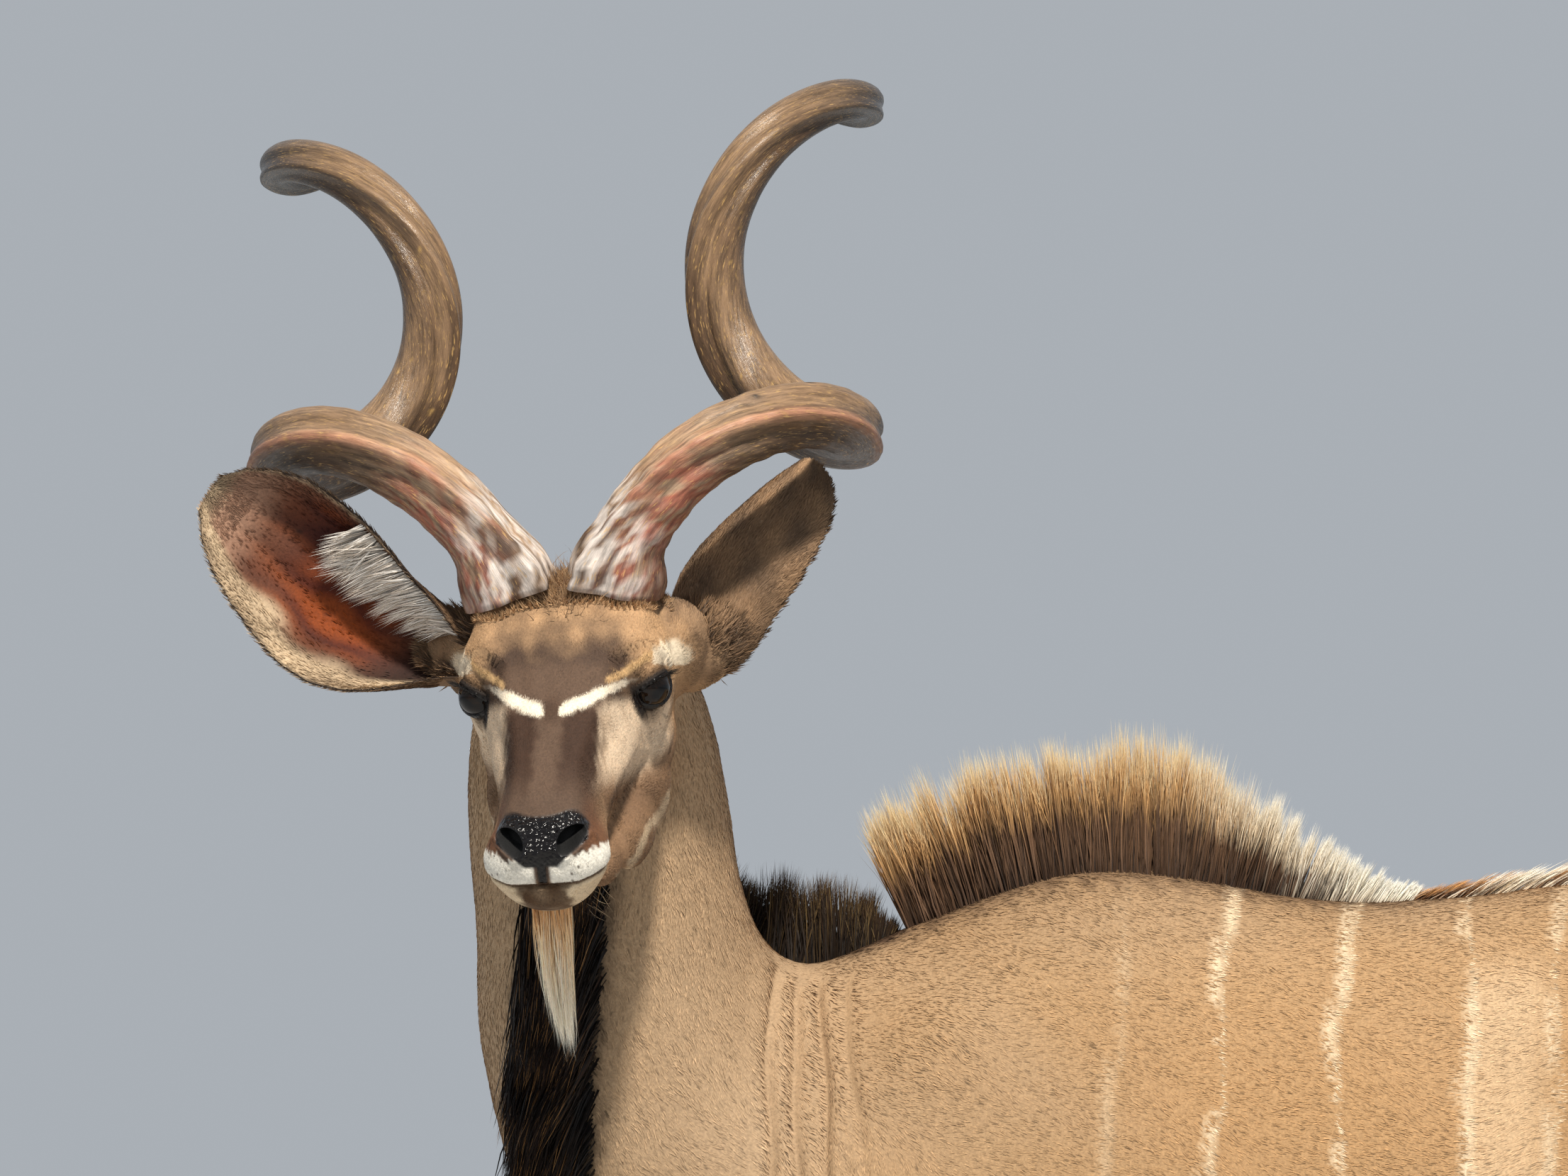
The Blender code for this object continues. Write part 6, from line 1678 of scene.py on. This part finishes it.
def horn_colour(side, s, off, rise, facing, field):
    """Chalky and red-brown at the foot, with painted light and shade: tan where it faces up, brown below; dark
    with a pale tip.
    """
    # how far each place faces up into the light, which the colours below paint as light and shade
    lit = facing @ unit(np.array((0.35, 0.1, 1.0)))
    inner = facing @ (HEAD_R @ np.array((0.25, -side, 0)))  # towards the middle of the head
    mottle = field(0.22, 0.017, 77) * 0.5
    streak, patchy = field(0.20, 0.0050, 82 + side), field(0.45, 0.016, 85 + side)
    crust = smooth(0.25, 0.80, lit + 0.3 * mottle) * smooth(0.40, 0.30, s) * smooth(0.10, 0.18, s)
    red = smooth(0.165, 0.09, rise) * smooth(0.75, -0.1, inner + 0.25 * patchy) * smooth(-1.1, -0.3, inner)
    chalk = (smooth(0.085, 0.030, rise - 0.030 * smooth(0, 0.9, inner))
             * smooth(-0.75, 0.35, inner + 0.4 * patchy))
    return layered(
        # painted shade: brown, darker on the undersides
        mix(srgb(64, 46, 31), srgb(90, 69, 50), smooth(-0.65, 0.25, lit + 0.25 * mottle)),
        # painted light: tan where the horn faces up, on its lower part and then on its upper part
        (srgb(160, 130, 100), smooth(0.20, 0.78, lit + 0.45 * mottle) * smooth(0.60, 0.34, s)),
        (srgb(144, 116, 88), 0.8 * smooth(0.0, 0.8, lit + 0.5 * mottle) * smooth(0.34, 0.60, s)),
        (srgb(110, 86, 64), 0.62 * crust * smooth(0.10, 0.30, off)),
        (srgb(188, 132, 104), 0.70 * bell(off, 0, 0.15) * smooth(0.42, 0.20, s) * smooth(0.03, 0.08, s)),
        # the foot: chalky towards the middle of the head, red-brown outside, with fine streaks through both
        (srgb(176, 148, 122), 0.70 * smooth(0.22, 0.07, rise) * smooth(-0.8, 0.5, streak)),
        (srgb(156, 82, 64), 0.72 * red * smooth(-0.9, 0.3, -streak + 0.5 * patchy)),
        (srgb(92, 56, 44), 0.65 * smooth(0.09, 0.03, rise) * smooth(-0.25, -0.8, inner + 0.2 * patchy)),
        (srgb(216, 206, 198), 0.85 * chalk * smooth(-0.5, 0.4, streak + 0.3 * patchy)),
        (srgb(86, 74, 68), 0.60 * smooth(0.12, 0.05, rise) * smooth(0.45, 1.0, -streak)),
        (srgb(206, 166, 96), 0.5 * smooth(1.15, 1.6, field(0.20, 0.0032, 79)) * smooth(0.10, 0.25, s)),
        (srgb(46, 42, 40), 0.85 * smooth(0.70, 0.86, s)), (srgb(236, 196, 120), smooth(0.965, 0.99, s)))


def skirt(name, rows, tone_of, shades, sizes, axes, scale):
    """Short hair from rows of root, lie and outward way, mapped by two axes of the head; sizes are its
    length, width and lift."""
    root, lie, outward = (np.array(column) for column in zip(*rows))
    lie = unit(lie)
    tone = tone_of(root) * CHANCE.uniform(*shades, (len(root), 1))
    uv = np.clip(0.5 + scale * head_local(root)[:, axes], 0.02, 0.98)
    size = CHANCE.uniform(0.6, 1.3, len(root))
    kites(name, root, lie, across(outward, lie), *(k * size for k in sizes), tone, uv)


def horn_skirt(name, grid, tree):
    """Short hair of the brow that laps over the foot of the horn."""
    rows = []
    for j in CHANCE.integers(0, grid.shape[1], few(1700)):
        column = grid[:, j]
        k = next((k for k, point in enumerate(column) if nearest_skin(tree, point)[0] > 0.0005),
                 len(column) - 1)
        radial = unit(column[k] - grid[k].mean(0))
        up_horn = unit(column[min(k + 4, len(column) - 1)] - column[k])
        _, spot, normal = nearest_skin(tree, column[k] + radial * CHANCE.uniform(-0.001, 0.009))
        rows.append((spot, up_horn + radial * 0.15 + 0.30 * CHANCE.normal(size=3), 0.6 * normal + radial))

    def tone_of(root):
        return mix(coat_colour(root, np.full(len(root), HEAD_ID)), srgb(200, 164, 122), 0.75)

    skirt("brow_" + name, rows, tone_of, (0.9, 1.4), (0.0062, 0.0009, 0.0006), (1, 0), 3)


def ear_skirt(name, tree):
    """Fur that runs from the head out over the root of an ear."""
    count, along = few(3400), ear_frame(name)[2]
    s, a = CHANCE.uniform(-0.02, 0.20, count), CHANCE.uniform(-1, 1, count)
    rows = []
    for point in ear_point(name, s, a, 0):
        _, spot, normal = nearest_skin(tree, point)
        rows.append((spot, along + 0.30 * CHANCE.normal(size=3), normal))

    def tone_of(root):
        blotch = 0.5 + 0.5 * ripple(root, 0.03, 91)
        return mix(ear_back_colour(0.15 + 0 * s, a), DARK_BROWN, 0.55 * smooth(0.55, 0.95, blotch))

    skirt("root_" + name, rows, tone_of, (0.8, 1.25), (0.0150, 0.0012, 0.0024), (0, 2), 2)


# ---------------------------------------------------------------- eyes and hooves
def make_eye(name):
    side = side_of(name)
    shape = bmesh.new()
    bmesh.ops.create_uvsphere(shape, u_segments=64, v_segments=40, radius=EYE_RADIUS - 0.0001)
    mesh = meshed(name, shape)
    points = places(mesh)
    away = unit(points @ HEAD_R * (1, side, 1))
    a, b, look = away @ EYE_LONG, away @ EYE_TALL, away @ EYE_LOOK
    points = points + unit(points) * (0.0009 * smooth(0.72, 0.95, look))[:, None]
    set_places(mesh, points + head_world(EYE_PLACE * (1, side, 1)))
    around = np.arctan2(b, a)
    streak = 0.5 + 0.5 * np.sin(around * 23 + 3 * np.sin(around * 7))
    pupil = np.hypot(a / 0.48, b / 0.26)
    paint(mesh, "coat", layered(srgb(16, 10, 6), (srgb(30, 18, 10), streak),
                                (srgb(6, 6, 9), smooth(1.1, 0.9, pupil)),
                                (srgb(16, 11, 9), smooth(0.74, 0.68, look))))
    placed(name + "_ball", mesh, "eye", "eye", name)


def claw_ring(share, shift):
    """A ring of a claw at a share of its height, from the foot's middle, which it is shift aside of."""
    around = np.linspace(0, math.tau, 36, endpoint=False)
    half, toe, heel = (np.interp(share, *zip(*((row[0], row[k]) for row in CLAW_ROWS))) for k in (1, 2, 3))
    ahead, shrink = np.sin(around), 0.97 if share == 0.0 else 0.99
    x = (half * np.cos(around) * (1 - 0.30 * np.maximum(0, ahead) ** 2) - 0.30 * shift
         * np.maximum(0, ahead) ** 2)
    y = np.where(ahead > 0, -toe * ahead, -heel * ahead)
    return np.stack([shift + x * shrink, y * shrink, share * (coronet(y) - 0.0004)], 1)


def make_foot(leg):
    x, y, _ = foot_middle(leg)
    for place, outward in (("outer", side_of(leg)), ("inner", -side_of(leg))):
        shares = (0.0, 0.0001, 0.08, 0.2, 0.35, 0.5, 0.65, 0.8, 0.92, 1.0, 1.0)
        grid = np.array([claw_ring(share, outward * CLAW_OFFSET) for share in shares]) + (x, y, 0)
        grid[-1] += (grid[-1].mean(0) - grid[-1]) * 0.5
        mesh = tube("hoof", grid)
        wear = smooth(0.02, 0.0, places(mesh)[:, 2])
        paint(mesh, "coat", mix(srgb(38, 33, 30), srgb(96, 84, 70), 0.5 * wear))
        name = f"hoof_{leg}_{place}"
        placed(name + "_detail", mesh, "hoof", "hoof", name)
    for k in (1, -1):  # the two dewclaws behind the pastern
        behind = 0.051 if "fore" in leg else 0.055
        mesh = lump((x + k * 0.017, y + behind, 0.112), tilted(math.radians(28)), (0.0078, 0.0085, 0.0150),
                    20, 10)
        paint(mesh, "coat", np.tile(srgb(40, 34, 30), (len(mesh.vertices), 1)))
        placed(f"dewclaw_{leg}_{'outer' if k == side_of(leg) else 'inner'}", mesh, "hoof", "hoof")


# ---------------------------------------------------------------- stage, light and camera
VIEW_TURN = math.radians(95)
VIEW_DISTANCE = 20.0
TO_CAMERA = Vector((math.sin(VIEW_TURN), -math.cos(VIEW_TURN), 0))
TO_RIGHT = Vector((math.cos(VIEW_TURN), math.sin(VIEW_TURN), 0))
FRAME_WIDTH = 2000 / 1450  # what the picture's width shows at the animal, in metres
SENSOR = 36


def stage():
    floor = Finish("floor", 0.9, 0.2)
    floor.feed(floor.main, {"Base Color": (0.50, 0.495, 0.485, 1)})
    shape = bmesh.new()
    bmesh.ops.create_circle(shape, cap_ends=True, segments=96, radius=14)
    mesh = meshed("floor", shape)
    mesh.materials.append(floor.material)
    new_object("floor", mesh)
    world = bpy.data.worlds.new("studio")
    bpy.context.scene.world = world
    world.use_nodes = True
    back = world.node_tree.nodes["Background"]
    back.inputs["Color"].default_value = (0.80, 0.86, 0.93, 1)
    back.inputs["Strength"].default_value = 0.50
    bpy.context.scene.view_settings.view_transform = "Standard"


def aimed(name, data, location, target):
    made = new_object(name, data)
    made.location = location
    made.rotation_euler = (target - location).to_track_quat("-Z", "Y").to_euler()
    return made


def lamp(name, right, near, up, size, power, colour, shines=False):
    """A square lamp at a place seen from the body; unless it shines, nothing glossy mirrors it."""
    light = bpy.data.lights.new(name, "AREA")
    light.size, light.energy, light.color = size, power, colour
    body = Vector((0, 0, 1.2))
    made = aimed(name, light, body + TO_RIGHT * right + TO_CAMERA * near + Vector((0, 0, up)), body)
    made.visible_glossy = shines


def lights_and_camera():
    lamp("key", 0.3, 4.2, 6.1, 0.6, 770, (1.0, 0.94, 0.85), True)
    lamp("fill", -5.0, 4.5, 2.2, 4.0, 20, (0.86, 0.92, 1.0))
    lamp("rim", -2.5, -4.5, 3.8, 2.0, 150, (1.0, 0.97, 0.92))
    camera = bpy.data.cameras.new("camera")
    camera.sensor_width = SENSOR
    camera.lens = SENSOR * VIEW_DISTANCE / FRAME_WIDTH
    camera.clip_end = 200
    aim = (EYES[1] + EYES[-1]) / 2 + TO_RIGHT * 0.1931 + Vector((0, 0, 0.0897))
    bpy.context.scene.camera = aimed("camera", camera, aim + TO_CAMERA * VIEW_DISTANCE, aim)


# ---------------------------------------------------------------- the whole animal
skin_tree = skin_and_coat()
for ear in EARS:
    ear_shell(ear)
    ear_fur(ear)
    ear_fringe(ear)
    ear_skirt(ear, skin_tree)
for side_name in ("left", "right"):
    make_horn("horn_" + side_name, skin_tree)
for side_name in ("left", "right"):
    make_eye("eye_" + side_name)
for leg_name in STEP_FORWARD:
    make_foot(leg_name)
blade_hair("withers_hair", WITHERS, 13000, 0.0015, crest_tone, "mane_withers", 330, 0.09, 0.40)
blade_hair("spine_hair", SPINE, 6000, 0.0013, spine_tone, "mane_spine", 300, 0.25, 0.2, (0.5, 0.95), lay=0.9)
blade_hair("nape_hair", NAPE, 8000, 0.0018, nape_tone, "mane_nape", 110, 0.20, rooted=0.4)
blade_hair("throat_hair", THROAT, 9500, 0.0022, throat_tone, "throat_fringe", 90, 0.12, sag=(0.08, 0, 0.05),
           spread=0.35)
beard_hair()
tail_hair()
face_hair()
stage()
lights_and_camera()
